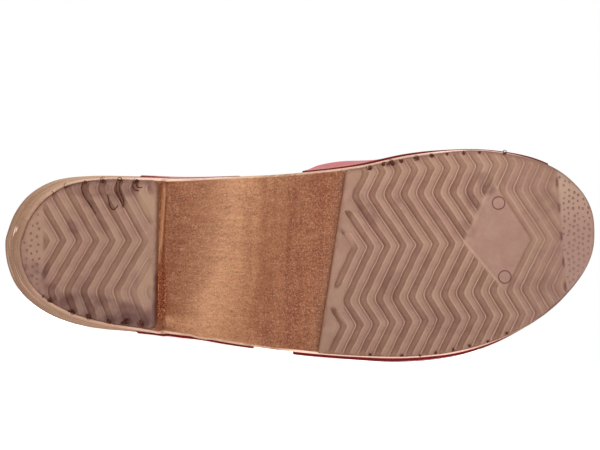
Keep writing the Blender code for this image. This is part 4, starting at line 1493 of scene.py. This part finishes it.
@dataclass
class Strap(Leather):
    """The leather strap: up one side, round behind the heel and down the other side.

    foot is where the strap's foot starts and ends along the shoe and foot_proud how far it stands
    off the wood at x, both medial and lateral.
    """

    proud: float = 0.6
    foot_proud: tuple[Table, Table] = (
        ((60, 0.6), (68, 0.5), (76, 0.2), (105, 0.25)),
        ((60, 0.7), (68, 1), (81, 1.7), (90, 1.3), (111, 1.2)),
    )
    foot: tuple[Pair, Pair] = ((62.0, 106.2), (60.2, 112.6))
    low: float = 29.0
    lift: float = 3.5
    height: float = 92.0
    width: float = 19.0
    turn_x: float = 34.0
    climb_share: float = 0.55
    centre: float = 48.0
    narrowing: float = 0.16
    flare: float = 0.385
    grid: tuple[int, int] = (236, 26)
    seam_axis: int = 1
    seam_lines: tuple[int, int] = (3, -4)
    seam_run: tuple[int, int] = (18, -18)

    def low_edge(self, x: Array, y: Array) -> Array:
        """Height of the strap's lower edge: level beside the heel, then along the arch."""
        peak = LAST.arch_peak[0] + LAST.arch_peak[1] * y
        return np.minimum(self.low, LAST.underside(np.maximum(x, peak), y) + self.lift)

    def point(self, side: Side, u: Array, height: Array) -> Array:
        """The outer face at a table position and a height, drawn in above the rim.

        Args:
            side: Which half.
            u: Table positions.
            height: Heights.

        Returns:
            (..., 3) points.
        """
        top = LAST.rim_height(u) - 2.4
        low = LAST.underside(*LAST.side_point(side, u, 0))
        foot = read(side.pick(self.foot_proud), LAST.rim_x(u))
        proud = foot + (self.proud - foot) * ease(30, 44, height)
        x, y = LAST.side_point(side, u, np.clip((height - low) / (top - low), 0, 1), -proud)
        narrow = 1 - self.narrowing * ease(top, self.height, height)
        return np.stack((self.centre + (x - self.centre) * narrow, y * narrow, height), axis=-1)

    def half(self, side: Side, steps: Array, shares: Array) -> Array:
        """One half of the outer face.

        Args:
            side: Which half.
            steps: Places round the heel: 0 behind it, 1 at the foot.
            shares: Places across the strap, -0.5 to 0.5.

        Returns:
            (steps, shares, 3) points.
        """
        u = np.linspace(0, LAST.end / 2, 40 * LAST.end)
        rim = LAST.side_point(side, u + 1e-3, 1, -self.proud)
        run = np.concatenate(([0.0], np.cumsum(np.hypot(np.diff(rim[0]), np.diff(rim[1])))))
        plan = LAST.side_point(side, u, 1)[0]
        ends = np.interp(side.pick(self.foot), plan, run)
        turn_run = float(np.interp(self.turn_x, plan, run))
        reach, foot_width = ends.mean() - turn_run, ends[1] - ends[0]
        climb = np.minimum((1 - steps) / self.climb_share, 1.0) * math.pi / 2
        back = np.maximum((1 - steps - self.climb_share) / (1 - self.climb_share), 0.0)
        place = (turn_run + reach * np.cos(climb)) * (1 - back)
        rise = self.height - self.low
        slope = np.stack((-reach * np.sin(climb), rise * np.cos(climb)))
        slope /= np.hypot(*slope)
        flare = 1 - ease(0, self.flare * math.pi, climb)
        offset = shares[None, :] * (self.width + (foot_width - self.width) * flare)[:, None]
        here = np.interp(place[:, None] + offset * slope[1][:, None], run, u) + 1e-3
        drop = self.low - self.low_edge(*LAST.side_point(side, here, 0))
        height = (self.low + rise * np.sin(climb))[:, None] - offset * slope[0][:, None]
        return self.point(side, here, height - drop * (np.cos(climb) ** 2)[:, None])

    def face(self) -> Array:
        """The whole outer face, from the medial foot to the lateral one."""
        rows, columns = self.grid
        shares = np.linspace(-0.5, 0.5, columns + 1)
        steps = np.linspace(-1, 1, rows + 1)
        medial = self.half(Side.MEDIAL, -steps[steps < 0], shares)
        return np.concatenate((medial, self.half(Side.LATERAL, steps[steps >= 0], shares)))

    def flex(self) -> Array:
        """Where the strap bends: where it turns up towards the back of the heel."""
        rows, columns = self.grid
        flex = hump(np.abs(np.linspace(-1, 1, rows + 1)), 0.42, 0.16)
        return np.repeat(flex[:, None], columns + 1, axis=1)


# ---- shading


LIGHT_LEVEL = 1.82  # how much brighter than a white card's own tone the studio light shows things
HAZE = 0.052  # light that every satin surface mirrors from the white room
WHITE = (1.0, 1.0, 1.0, 1.0)
Colour = tuple[float, float, float, float]
Material = bpy.types.Material
Socket = bpy.types.NodeSocket
Value = "float | Socket"


def rgb(red: float, green: float, blue: float) -> Colour:
    """The base colour that shows as a display colour from 0 to 255 under the studio light.

    Linear light is ((c + 0.055) / 1.055)^2.4, or c / 12.92 when dark; the haze is taken off it and
    the rest divided by the light level.

    Args:
        red: Display red.
        green: Display green.
        blue: Display blue.

    Returns:
        The base colour and an alpha of 1.
    """
    shares = [value / 255 for value in (red, green, blue)]
    linear = [share / 12.92 if share <= 0.04045 else ((share + 0.055) / 1.055) ** 2.4 for share in shares]
    return (*(max(value - HAZE, 0.2 * value) / LIGHT_LEVEL for value in linear), 1.0)


class Graph:
    """Adds nodes to a tree and wires them; every method returns the new node's output socket."""

    def __init__(self, tree: bpy.types.NodeTree) -> None:
        """Works in the given tree."""
        self.tree = tree

    def plug(self, node: bpy.types.Node, inputs: dict) -> None:
        """Links sockets to, or sets values of, a node's inputs.

        Args:
            node: The node.
            inputs: What goes into its sockets, by name or number.
        """
        for key, value in inputs.items():
            if isinstance(value, Socket):
                self.tree.links.new(value, node.inputs[key])
            else:
                node.inputs[key].default_value = value

    def add(self, kind: str, inputs: dict, output: int | str = 0, **settings: object) -> Socket:
        """Adds a node.

        Args:
            kind: The node's type, without the word ShaderNode.
            inputs: What goes into its sockets.
            output: Which output to return.
            settings: The node's own properties.

        Returns:
            The output socket.
        """
        node = self.tree.nodes.new("ShaderNode" + kind)
        for key, value in settings.items():
            setattr(node, key, value)
        self.plug(node, inputs)
        return node.outputs[output]

    def math(self, operation: str, first: Value, second: Value = 0.0, clamp: bool = False) -> Socket:
        """A math node."""
        return self.add("Math", {0: first, 1: second}, operation=operation, use_clamp=clamp)

    def plus(self, first: Value, second: Value, clamp: bool = False) -> Socket:
        """A sum."""
        return self.math("ADD", first, second, clamp)

    def minus(self, first: Value, second: Value) -> Socket:
        """A difference."""
        return self.math("SUBTRACT", first, second)

    def times(self, first: Value, second: Value, clamp: bool = False) -> Socket:
        """A product."""
        return self.math("MULTIPLY", first, second, clamp)

    def most(self, first: Value, second: Value) -> Socket:
        """The larger of two values."""
        return self.math("MAXIMUM", first, second)

    def mix(self, share: Value, first: object, second: object, blend: str = "MIX") -> Socket:
        """A colour mix of first and second."""
        return self.add("Mix", {0: share, 6: first, 7: second}, 2, data_type="RGBA", blend_type=blend)

    def layers(self, colour: Value, *layers: tuple[Value, object]) -> Socket:
        """A colour with others laid over it in turn, each given after its share."""
        for share, other in layers:
            colour = self.mix(share, colour, other)
        return colour

    def shade(self, colour: Socket, value: Socket) -> Socket:
        """A colour times a value."""
        return self.mix(1, colour, self.add("CombineColor", {0: value, 1: value, 2: value}), "MULTIPLY")

    def blend(self, share: Value, first: Value, second: Value) -> Socket:
        """A mix of two values."""
        return self.add("Mix", {0: share, 2: first, 3: second}, 0, data_type="FLOAT")

    def span(
        self, value: Value, low: Value, high: Value, to_low: float = 0.0, to_high: float = 1.0
    ) -> Socket:
        """A smooth, clamped map of a range onto another."""
        inputs = {"Value": value, "From Min": low, "From Max": high, "To Min": to_low, "To Max": to_high}
        return self.add("MapRange", inputs, interpolation_type="SMOOTHSTEP")

    def attribute(self, name: str, output: str = "Fac") -> Socket:
        """An attribute of the mesh."""
        return self.add("Attribute", {}, output, attribute_type="GEOMETRY", attribute_name=name)

    def place(self) -> Socket:
        """The point's place in the shoe's frame, in millimetres."""
        return self.attribute("place", "Vector")

    def axes(self, vector: Socket) -> tuple[Socket, ...]:
        """The x, y and z of a vector."""
        return tuple(self.add("SeparateXYZ", {0: vector}).node.outputs)

    def scaled(self, vector: Socket, x: float, y: float, z: float) -> Socket:
        """A vector scaled along its axes."""
        return self.add("VectorMath", {0: vector, 1: (x, y, z)}, operation="MULTIPLY")

    def noise(
        self, vector: Socket, scale: Value, detail: float = 2.0, rough: float = 0.5, twist: float = 0.0
    ) -> Socket:
        """Fractal noise from 0 to 1."""
        inputs = {"Vector": vector, "Scale": scale, "Detail": detail, "Roughness": rough, "Distortion": twist}
        return self.add("TexNoise", inputs, "Fac")

    def bump(self, height: Value, strength: float, distance: float) -> Socket:
        """A bumped normal."""
        return self.add("Bump", {"Height": height, "Strength": strength, "Distance": distance}, "Normal")

    def use(self, effect: bpy.types.NodeTree, place: Socket, **values: Value) -> Socket:
        """An instance of a shared effect at a place, with its own values."""
        return self.add("Group", {"Place": place, **values}, node_tree=effect)


class Coat(Graph):
    """The graph of a material with a Principled shader."""

    def __init__(self, name: str) -> None:
        """Starts the material."""
        self.material = bpy.data.materials.new(name)
        self.material.use_nodes = True
        super().__init__(self.material.node_tree)

    def done(
        self, colour: Socket, rough: Value, gloss: Value, normal: Socket | None = None, **more: object
    ) -> Material:
        """Feeds the shader.

        Args:
            colour: Base colour.
            rough: Roughness.
            gloss: Specular level.
            normal: Bumped normal, if any.
            more: Other inputs of the shader, their spaces written as underlines.

        Returns:
            The material.
        """
        inputs = {"Base Color": colour, "Roughness": rough, "Specular IOR Level": gloss}
        if normal:
            inputs["Normal"] = normal
        inputs.update({key.replace("_", " "): value for key, value in more.items()})
        self.plug(self.tree.nodes["Principled BSDF"], inputs)
        return self.material


def effect(name: str, formula: Callable[[Graph, dict], Socket], **inputs: float) -> bpy.types.NodeTree:
    """A shader effect shared by several finishes, built once as a node group with a single value out.

    Args:
        name: The group's name.
        formula: Makes the value from the group's graph and inputs.
        inputs: The inputs besides the place, with their defaults.

    Returns:
        The group.
    """
    tree = bpy.data.node_groups.new(name, "ShaderNodeTree")
    tree.interface.new_socket(name="Place", in_out="INPUT", socket_type="NodeSocketVector")
    for key, value in inputs.items():
        socket = tree.interface.new_socket(name=key, in_out="INPUT", socket_type="NodeSocketFloat")
        socket.default_value = value
    tree.interface.new_socket(name="Value", in_out="OUTPUT", socket_type="NodeSocketFloat")
    value = formula(Graph(tree), tree.nodes.new("NodeGroupInput").outputs)
    tree.links.new(value, tree.nodes.new("NodeGroupOutput").inputs["Value"])
    return tree


class Effects:
    """The effects that the finishes share."""

    def __init__(self) -> None:
        """Builds every group once."""
        self.mottle = effect("mottle", self.blotches, Size=8.0, Spread=0.3)
        self.speckle = effect("speckle", self.grain, Size=0.8)
        self.ring = effect("ring", self.circle, X=0.0, Y=0.0, Radius=2.8, Width=0.35)
        self.stroke = effect("stroke", self.mark, X=0.0, Y=0.0, Run=0.0, Rise=1.0, Length=2.0, Width=0.4)

    @staticmethod
    def blotches(g: Graph, into: dict) -> Socket:
        """Soft blotches: noise at one size with a touch of noise at a third of it, spread over 0 to 1.

        Args:
            g: The group's graph.
            into: The group's inputs.

        Returns:
            The value.
        """
        scale = g.math("DIVIDE", 1.0, into["Size"])
        coarse = g.noise(into["Place"], scale)
        fine = g.noise(into["Place"], g.times(scale, 3.1), 3)
        both = g.plus(g.times(coarse, 0.68), g.times(fine, 0.32))
        return g.span(both, g.minus(0.5, into["Spread"]), g.plus(0.5, into["Spread"]))

    @staticmethod
    def grain(g: Graph, into: dict) -> Socket:
        """Fine even grain from -0.5 to 0.5 at a given size in millimetres."""
        return g.minus(g.noise(into["Place"], g.math("DIVIDE", 1, into["Size"]), 3, 0.7), 0.5)

    @staticmethod
    def circle(g: Graph, into: dict) -> Socket:
        """A thin circle in plan: 1 on the line, 0 from its half-width on.

        Args:
            g: The group's graph.
            into: The group's inputs.

        Returns:
            The value.
        """
        x, y, _ = g.axes(into["Place"])
        dx, dy = g.minus(x, into["X"]), g.minus(y, into["Y"])
        distance = g.math("SQRT", g.plus(g.times(dx, dx), g.times(dy, dy)))
        return g.span(g.math("ABSOLUTE", g.minus(distance, into["Radius"])), 0, into["Width"], 1, 0)

    @staticmethod
    def mark(g: Graph, into: dict) -> Socket:
        """A short straight mark in plan: 1 on its middle line, 0 from half-width and half-length on.

        Args:
            g: The group's graph.
            into: The group's inputs.

        Returns:
            The value.
        """
        x, y, _ = g.axes(into["Place"])
        dx, dy = g.minus(x, into["X"]), g.minus(y, into["Y"])
        along = g.plus(g.times(dx, into["Run"]), g.times(dy, into["Rise"]))
        across = g.minus(g.times(dx, into["Rise"]), g.times(dy, into["Run"]))
        along = g.span(g.math("ABSOLUTE", along), 0, into["Length"], 1, 0)
        return g.times(along, g.span(g.math("ABSOLUTE", across), 0, into["Width"], 1, 0))


@dataclass(frozen=True)
class RubberFinish:
    """Satin brown rubber with blotches, grooves darkened partly by dirt and partly by painted shade, fine
    lines beside them of painted highlight and painted shade, and a dark edge that is partly painted shade.
    """

    rib: Colour = rgb(167, 129, 111)
    mauve: Colour = rgb(154, 114, 105)
    olive: Colour = rgb(162, 129, 107)
    khaki: Colour = rgb(174, 139, 116)
    groove: Colour = rgb(160, 122, 105)
    line_highlight: Colour = rgb(208, 170, 149)
    dark: Colour = rgb(106, 71, 60)
    stain: Colour = rgb(118, 84, 77)
    padding: Colour = rgb(170, 132, 119)
    toe_pad: tuple[Colour, Colour] = (rgb(192, 160, 140), rgb(174, 139, 126))
    wall: Colour = rgb(104, 72, 60)
    wall_pale: Colour = rgb(146, 106, 88)
    roughness: float = 0.46

    def build(self, effects: Effects, rings: Table) -> Material:
        """Builds the material.

        Args:
            effects: The shared effects.
            rings: Centres of the ring marks.

        Returns:
            The material.
        """
        g = Coat("tread rubber")
        place = g.place()
        x, y, _ = g.axes(place)
        warm = g.use(effects.mottle, place, Size=7, Spread=0.15)
        cool = g.use(effects.mottle, g.scaled(place, 0.7, 1, 1), Size=12, Spread=0.14)
        grain = g.use(effects.speckle, place, Size=0.9)
        padding = g.mix(g.span(y, -24, 20, 0, 0.7), self.khaki, self.padding)
        padding = g.mix(g.span(x, 200, 240), padding, g.mix(g.span(y, -34, -8), *self.toe_pad))
        depth = g.span(g.attribute("relief"), 0.1, 1.3)
        tone, edge = g.attribute("tone"), g.attribute("edge")
        stain = g.times(g.attribute("stain"), g.plus(g.times(warm, 0.6), 0.5))
        uneven = g.use(effects.mottle, place, Size=2.2, Spread=0.16)
        # rim darkens the face along the outline and wall the tread's sides: partly the rubber's own dark
        # moulded edge, partly painted shade where the rubber meets the wood; both are fainter on the heel's
        # front and on the forefoot short of the toe.
        rim = g.times(g.span(edge, 0, 1.1, 1, 0), g.blend(uneven, 0.35, 1))
        heel = g.times(g.span(x, 40, 64), g.span(y, 6, 10, 1, 0.35))
        forefoot = g.times(g.span(x, 90, 100), g.span(x, 234, 246, 1, 0))
        faint_rim = g.most(heel, forefoot)
        wall = g.most(g.attribute("wall"), g.span(edge, 0, 0.5, 0.8, 0))
        colour = g.layers(
            self.rib,
            (g.times(warm, 0.75), self.mauve),
            (g.times(cool, 0.6), self.olive),
            (g.times(g.attribute("pad"), 0.85), padding),
            (g.span(g.attribute("label"), 0, 0.8, 0, 0.45), self.padding),
            (g.times(g.attribute("plain"), 0.8), self.khaki),
            # Darker in the grooves, partly dirt and partly painted shade of the hollows.
            (g.times(depth, 0.9), g.mix(g.times(warm, 0.25), self.groove, self.stain)),
            # The tone lines: painted highlights and painted shade beside the grooves.
            (g.times(g.most(tone, 0), 0.7), self.line_highlight),
            (g.times(g.most(g.times(tone, -1), 0), 0.75), self.dark),
            (g.times(stain, 0.8, clamp=True), self.stain),
            (g.times(stain, -0.55, clamp=True), self.khaki),
            (g.times(rim, g.blend(faint_rim, 0.95, 0.25)), self.dark),
            (g.times(wall, g.blend(faint_rim, 0.9, 0.7)), g.mix(faint_rim, self.wall, self.wall_pale)),
        )
        height = g.times(grain, 0.35)
        for ring_x, ring_y in rings:
            ring = g.use(effects.ring, place, X=ring_x, Y=ring_y, Radius=2.7, Width=0.5)
            colour = g.mix(ring, colour, self.dark)
            height = g.minus(height, g.times(ring, 0.8))
        # The span terms paint shading: lighter on the medial side, darker towards the lateral side, the heel
        # and the toe; the grain term is the rubber's own.
        value = g.plus(g.span(y, -40, 40, 1.04, 0.93), g.times(grain, 0.34))
        value = g.times(value, g.span(x, 60, 160, 0.94, 1))
        value = g.times(value, g.span(x, 205, 250, 1, 0.93))
        rough = g.plus(g.blend(warm, self.roughness, self.roughness + 0.14), g.times(depth, 0.12))
        return g.done(g.shade(colour, value), rough, g.blend(wall, 0.36, 0.03), g.bump(height, 0.3, 0.0003))


@dataclass(frozen=True)
class WoodFinish:
    """Oiled wood: orange-brown below the arch, paler on sides and rim, with grain and stains, and with
    painted
    light: a highlight band across the arch, shade by the heel's front and the forefoot tread, glints on the
    heel's back.

    glint_streaks holds a row for each painted glint on the heel's back: its centre's x and y, its direction
    and half its length.
    """

    arch: Colour = rgb(145, 92, 75)
    # The colour of the arch's painted highlight.
    arch_highlight: Colour = rgb(205, 152, 119)
    arch_deep: Colour = rgb(130, 77, 63)
    fleck: Colour = rgb(228, 176, 147)
    side: Colour = rgb(220, 184, 156)
    side_deep: Colour = rgb(176, 134, 106)
    heel: Colour = rgb(128, 95, 74)
    heel_red: Colour = rgb(152, 106, 86)
    bed: Colour = rgb(214, 178, 140)
    pale: Colour = rgb(234, 178, 138)
    rust: Colour = rgb(128, 62, 42)
    ember: Colour = rgb(226, 158, 118)
    lit: Colour = (0.86, 0.61, 0.53, 1.0)
    grime: Colour = rgb(108, 92, 82)
    mirrored: Colour = (1.0, 0.74, 0.5, 1.0)
    roughness: float = 0.42
    glint_streaks: Table = ((6.45, -9.7, 0.26, -0.965, 3.2), (7.9, -10.6, 0.3, -0.95, 1.8))

    def sides(self, g: Graph, effects: Effects, bed: Socket, long: Socket) -> Socket:
        """The colour of sides and footbed: grain, the heel's brown back, layers, edges and painted glints.

        Args:
            g: The material's graph.
            effects: The shared effects.
            bed: The mask of the footbed.
            long: Noise along the grain.

        Returns:
            The colour.
        """
        place = g.place()
        x, y, _ = g.axes(place)
        cloud = g.use(effects.mottle, place, Size=16, Spread=0.2)
        grained = g.span(long, 0.36, 0.7)
        behind = g.times(g.span(x, 2, 44, 1, 0), g.span(y, -24, 16, 0.72, 1))
        bands = g.noise(g.scaled(place, 0.02, 0.02, 0.2), 1, 3, 0.7, 0.3)
        side = g.layers(
            self.side,
            (g.times(grained, 0.6), self.side_deep),
            (behind, g.mix(g.span(cloud, 0.35, 0.8, 0, 0.7), self.heel, self.heel_red)),
            (g.times(g.span(bands, 0.5, 0.6), 0.42), self.arch_deep),
            (g.times(g.span(bands, 0.46, 0.36), 0.4), self.side),
            (g.times(g.attribute("brow"), 0.5), self.arch_deep),
            (g.attribute("lit"), self.lit),
            (g.attribute("grime"), self.grime),
            (bed, g.mix(g.times(grained, 0.5), self.bed, self.side)),
        )
        open_side = g.blend(bed, 0.85, 0)
        # Pale streaks in the lit colour on the heel's back: painted glints.
        for at_x, at_y, run, rise, half in self.glint_streaks:
            values = {"X": at_x, "Y": at_y, "Run": run, "Rise": rise, "Length": half, "Width": 0.55}
            side = g.mix(g.times(g.use(effects.stroke, place, **values), open_side), side, self.lit)
        return side

    def build(self, effects: Effects) -> Material:
        """Builds the material.

        Args:
            effects: The shared effects.

        Returns:
            The material.
        """
        g = Coat("oiled wood")
        place = g.place()
        x = g.axes(place)[0]
        under, bed, rust, gloss = (g.attribute(name) for name in ("under", "bed", "rust", "gloss"))
        long = g.noise(g.scaled(place, 0.02, 0.55, 0.55), 1, 3, 0.6, 0.6)
        pores = g.noise(g.scaled(place, 0.12, 1.6, 1.6), 1, 2, 0.6)
        across = g.noise(g.scaled(place, 0.2, 0.022, 0.1), 1, 2, 0.55, 0.5)
        flat = g.scaled(place, 1, 1, 0.35)
        grain = g.use(effects.speckle, flat, Size=0.62)
        ragged = g.use(effects.mottle, g.scaled(place, 0.5, 1.6, 0.5), Size=5, Spread=0.3)
        # The sheen mask paints the highlight band across the arch, ragged at its edges.
        sheen = g.plus(g.attribute("sheen"), g.times(g.minus(ragged, 0.5), 0.34), clamp=True)
        streak = g.times(g.span(across, 0.4, 0.66), g.span(x, 96, 132))
        fleck = g.noise(flat, 1.6, 2, 0.6, 1.2)
        # The rust mark also holds painted shade by the heel's front and along the forefoot tread; its dark
        # and ember flecks show in both.
        dark = g.times(rust, g.span(g.noise(flat, 0.7, 3, 0.7), 0.36, 0.54), clamp=True)
        ember = g.times(rust, g.span(fleck, 0.51, 0.6), clamp=True)
        arch = g.layers(
            self.arch,
            (sheen, self.arch_highlight),
            (g.times(streak, 0.6), self.arch_deep),
            (g.times(g.span(long, 0.4, 0.68), 0.2), self.arch_deep),
        )
        colour = g.layers(
            self.sides(g, effects, bed, long),
            (under, arch),
            # The pale mark also paints the highlight along the heel's front.
            (g.times(g.attribute("pale"), 0.8, clamp=True), self.pale),
            (g.times(g.span(fleck, 0.52, 0.66), g.blend(under, 0.12, 0.42)), self.fleck),
            (g.times(rust, 0.5, clamp=True), self.arch_deep),
            (g.times(dark, 0.8), self.rust),
            (g.times(ember, 0.9), self.ember),
        )
        coarse = g.times(g.span(fleck, 0.48, 0.36), g.blend(under, -0.12, -0.46))
        value = g.plus(g.plus(1.02, coarse), g.times(grain, 0.6))
        value = g.plus(value, g.times(g.minus(pores, 0.5), -0.25))
        # Fine streaks of painted highlight within the arch's highlight band.
        stripe = g.minus(g.noise(g.scaled(place, 0.55, 2.4, 0.4), 1, 2, 0.6), 0.5)
        value = g.plus(value, g.times(stripe, g.times(sheen, g.times(under, 0.55))))
        height = g.plus(g.times(grain, 0.5), g.times(pores, -0.4))
        height = g.plus(height, g.times(fleck, g.times(under, 0.8)))
        rough = g.blend(gloss, 0.72, g.plus(self.roughness, g.times(grain, 0.3)))
        return g.done(
            g.shade(colour, value),
            rough,
            g.blend(gloss, 0.1, 0.5),
            g.bump(height, 0.4, 0.0003),
            Specular_Tint=self.mirrored,
        )


@dataclass(frozen=True)
class LeatherFinish:
    """Smooth red leather, dark painted edges and a tan flesh side; the edges also carry painted shade on the
    grain side and a painted highlight on the flesh side.
    """

    red: Colour = rgb(208, 44, 56)
    deep: Colour = rgb(166, 24, 38)
    worn: Colour = rgb(222, 84, 88)
    # Colours of the rounded edge, which also carry painted light: shade on the grain side, a highlight on the
    # flesh side.
    cut_edge_and_shade: Colour = (0.10, 0.006, 0.007, 1.0)
    lip_and_highlight: Colour = (0.52, 0.20, 0.17, 1.0)
    flesh: Colour = rgb(196, 158, 124)
    flesh_deep: Colour = rgb(176, 136, 104)
    roughness: float = 0.36

    def build(self, effects: Effects) -> Material:
        """Builds the material.

        Args:
            effects: The shared effects.

        Returns:
            The material.
        """
        g = Coat("red leather")
        place = g.place()
        cloud = g.use(effects.mottle, place, Size=18, Spread=0.2)
        fine = g.use(effects.speckle, place, Size=0.5)
        inputs = {"Vector": place, "Scale": 1.15, "Randomness": 1.0}
        cells = g.add("TexVoronoi", inputs, "Distance", feature="DISTANCE_TO_EDGE")
        flex = g.times(g.attribute("flex"), g.span(g.noise(place, 0.14, 3), 0.42, 0.66))
        face, edge = g.attribute("face"), g.span(g.attribute("rim"), 0.5, 0.95)
        colour = g.layers(
            self.red,
            (g.times(cloud, 0.55), self.deep),
            (g.times(flex, 0.35), self.worn),
            (g.span(face, -0.99, -0.95, 1, 0), g.mix(cloud, self.flesh, self.flesh_deep)),
            # The rounded edge: pinkish on the flesh side and near black on the grain side, partly the edge's
            # own colours, partly a painted highlight and painted shade.
            (edge, g.mix(g.span(face, -0.35, 0.3), self.lip_and_highlight, self.cut_edge_and_shade)),
        )
        value = g.plus(1, g.times(fine, 0.16))
        height = g.plus(g.span(cells, 0, 0.28), g.times(fine, 0.5))
        rough = g.plus(g.blend(g.span(face, -0.9, 0.9), 0.75, self.roughness), g.times(cloud, 0.1))
        return g.done(g.shade(colour, value), rough, g.blend(edge, 0.45, 0.04), g.bump(height, 0.22, 0.0002))


@dataclass(frozen=True)
class PlainFinish:
    """A small part's finish: one tone varied by fine grain and soft blotches."""

    name: str
    colour: Colour
    other: Colour
    roughness: float
    gloss: float = 0.3
    size: float = 1.2

    def build(self, effects: Effects) -> Material:
        """Builds the material.

        Args:
            effects: The shared effects.

        Returns:
            The material.
        """
        g = Coat(self.name)
        cloud = g.use(effects.mottle, g.place(), Size=self.size, Spread=0.2)
        grain = g.use(effects.speckle, g.place(), Size=0.35)
        rough = g.plus(self.roughness, g.times(grain, 0.2))
        return g.done(g.mix(cloud, self.colour, self.other), rough, self.gloss, g.bump(grain, 0.2, 0.0001))


# ---- studio


@dataclass(frozen=True)
class Lamp:
    """A round area light: its name, its place and the place it shines at, size in metres and watts."""

    name: str
    at: Triple
    aim: Triple
    size: float
    power: float

    def build(self, standing: Standing) -> None:
        """Puts the light beside the shoe.

        Args:
            standing: The shoe's place in the row.
        """
        light = bpy.data.lights.new(self.name, "AREA")
        light.shape = "DISK"
        light.size = self.size
        light.energy = self.power
        lamp = bpy.data.objects.new(self.name, light)
        place, target = Vector(standing.place(self.at)), Vector(standing.place(self.aim))
        turn = (target - place).to_track_quat("-Z", "Y").to_matrix()
        lamp.matrix_world = Matrix.Translation(place) @ turn.to_4x4()
        bpy.context.scene.collection.objects.link(lamp)


@dataclass(frozen=True)
class Studio:
    """A pale floor, soft light and the camera that looks square at the treads."""

    eye: Triple = (133.3, -12.5, -900.0)
    field_mm: float = 258.7
    sensor: float = 36.0
    clip: Pair = (0.05, 50.0)
    floor_radius: float = 6.0
    floor_tones: tuple[Colour, Colour] = ((0.93, 0.93, 0.93, 1.0), (0.97, 0.97, 0.97, 1.0))
    sky: float = 1.0
    glow: float = 0.85
    lamps: tuple[Lamp, ...] = (
        Lamp("front light", (290.0, -60.0, -1050.0), (120.0, 0.0, 20.0), 0.5, 4.7),
        Lamp("top light", (120.0, -1500.0, 100.0), (120.0, 0.0, 20.0), 2.2, 25.0),
    )

    def floor(self) -> None:
        """A wide pale disc under the shoe, faintly mottled."""
        mesh = bpy.data.meshes.new("floor")
        work = bmesh.new()
        bmesh.ops.create_circle(work, cap_ends=True, segments=96, radius=self.floor_radius)
        work.to_mesh(mesh)
        work.free()
        g = Coat("studio floor")
        tone = g.mix(g.noise(g.add("TexCoord", {}, "Object"), 1.5), *self.floor_tones)
        mesh.materials.append(g.done(tone, 0.9, 0.2, Emission_Color=WHITE, Emission_Strength=self.glow))
        floor = bpy.data.objects.new("floor", mesh)
        bpy.context.scene.collection.objects.link(floor)

    def world(self) -> None:
        """An even white sky."""
        world = bpy.data.worlds.new("studio sky")
        world.use_nodes = True
        background = world.node_tree.nodes["Background"]
        background.inputs["Color"].default_value = WHITE
        background.inputs["Strength"].default_value = self.sky
        bpy.context.scene.world = world

    def camera(self, standing: Standing) -> None:
        """The camera: it looks along the shoe's z, with the shoe's x to the right and y down.

        Args:
            standing: The shoe's place in the row.
        """
        data = bpy.data.cameras.new("camera")
        data.sensor_width = self.sensor
        data.lens = self.sensor * -self.eye[2] / self.field_mm
        data.clip_start, data.clip_end = self.clip
        camera = bpy.data.objects.new("camera", data)
        right, down, ahead = (Vector(standing.direction(axis)) for axis in np.eye(3))
        turn = Matrix((right, -down, -ahead)).transposed()
        camera.matrix_world = Matrix.Translation(Vector(standing.place(self.eye))) @ turn.to_4x4()
        bpy.context.scene.collection.objects.link(camera)
        bpy.context.scene.camera = camera

    def build(self, standing: Standing) -> None:
        """Floor, sky, lights and camera.

        Args:
            standing: The shoe's place in the row.
        """
        self.floor()
        self.world()
        for lamp in self.lamps:
            lamp.build(standing)
        self.camera(standing)


# ---- the clog


class Clog:
    """The whole shoe: every piece with its finish and its body; the frame nodes that treads, sole and
    leathers replace are hidden.
    """

    def __init__(self, standing: Standing) -> None:
        """Prepares treads and finishes.

        Args:
            standing: The shoe's place in the row.
        """
        effects = Effects()
        self.standing = standing
        self.forefoot = ForefootTread()
        self.heel = HeelTread()
        self.rubber = RubberFinish().build(effects, self.forefoot.ring_marks)
        self.wood = WoodFinish().build(effects)
        self.leather = LeatherFinish().build(effects)
        self.crumbs = PlainFinish("torn rubber", rgb(88, 58, 49), rgb(122, 88, 77), 0.8, 0.05).build(effects)
        self.thread = PlainFinish("sewing thread", rgb(150, 30, 40), rgb(120, 22, 32), 0.6).build(effects)

    def treads(self) -> None:
        """Both treads with the pimples of their pads and their torn flash."""
        for tread in (self.forefoot, self.heel):
            piece = make_piece(tread.name + "_face", tread.surface(), self.standing, self.rubber, sharp=50.0)
            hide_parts(tread.name)
        toe = self.forefoot.dots(lowest=245.5, spacing=2.55, margin=0.75, seed=11)
        back = self.heel.dots(lowest=12.4, spacing=3.0, margin=0.8, seed=23)
        piece = make_piece("pad_pimples", toe.joined(back), self.standing, self.rubber)
        torn = self.forefoot.flash(seed=5).joined(self.heel.flash(seed=8))
        piece = make_piece("torn_flash", torn, self.standing, self.crumbs)

    def sole(self) -> None:
        """The wooden sole."""
        piece = make_piece("wooden_sole", WoodenSole().surface(), self.standing, self.wood, sharp=48.0)
        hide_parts("wood_sole")

    def uppers(self) -> None:
        """Vamp and strap with their stitches."""
        for name, node, leather in (("vamp", "upper_vamp", Vamp()), ("strap", "heel_strap", Strap())):
            piece = make_piece(name + "_leather", leather.surface(), self.standing, self.leather, sharp=60.0)
            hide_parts(node)
            seam = make_piece(name + "_stitches", leather.seams(), self.standing, self.thread)

    def build(self) -> None:
        """Every piece."""
        self.treads()
        self.sole()
        self.uppers()


def main() -> None:
    """Builds the clog on its frame, with floor, light and camera."""
    logging.basicConfig(level=logging.INFO, format="%(name)s: %(message)s")
    for old in list(bpy.data.objects):
        bpy.data.objects.remove(old, do_unlink=True)
    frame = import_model()
    standing = Standing.from_record(frame["record"])
    Clog(standing).build()
    Studio().build(standing)
    bpy.context.scene.view_settings.view_transform = "Standard"


if __name__ == "__main__":
    main()
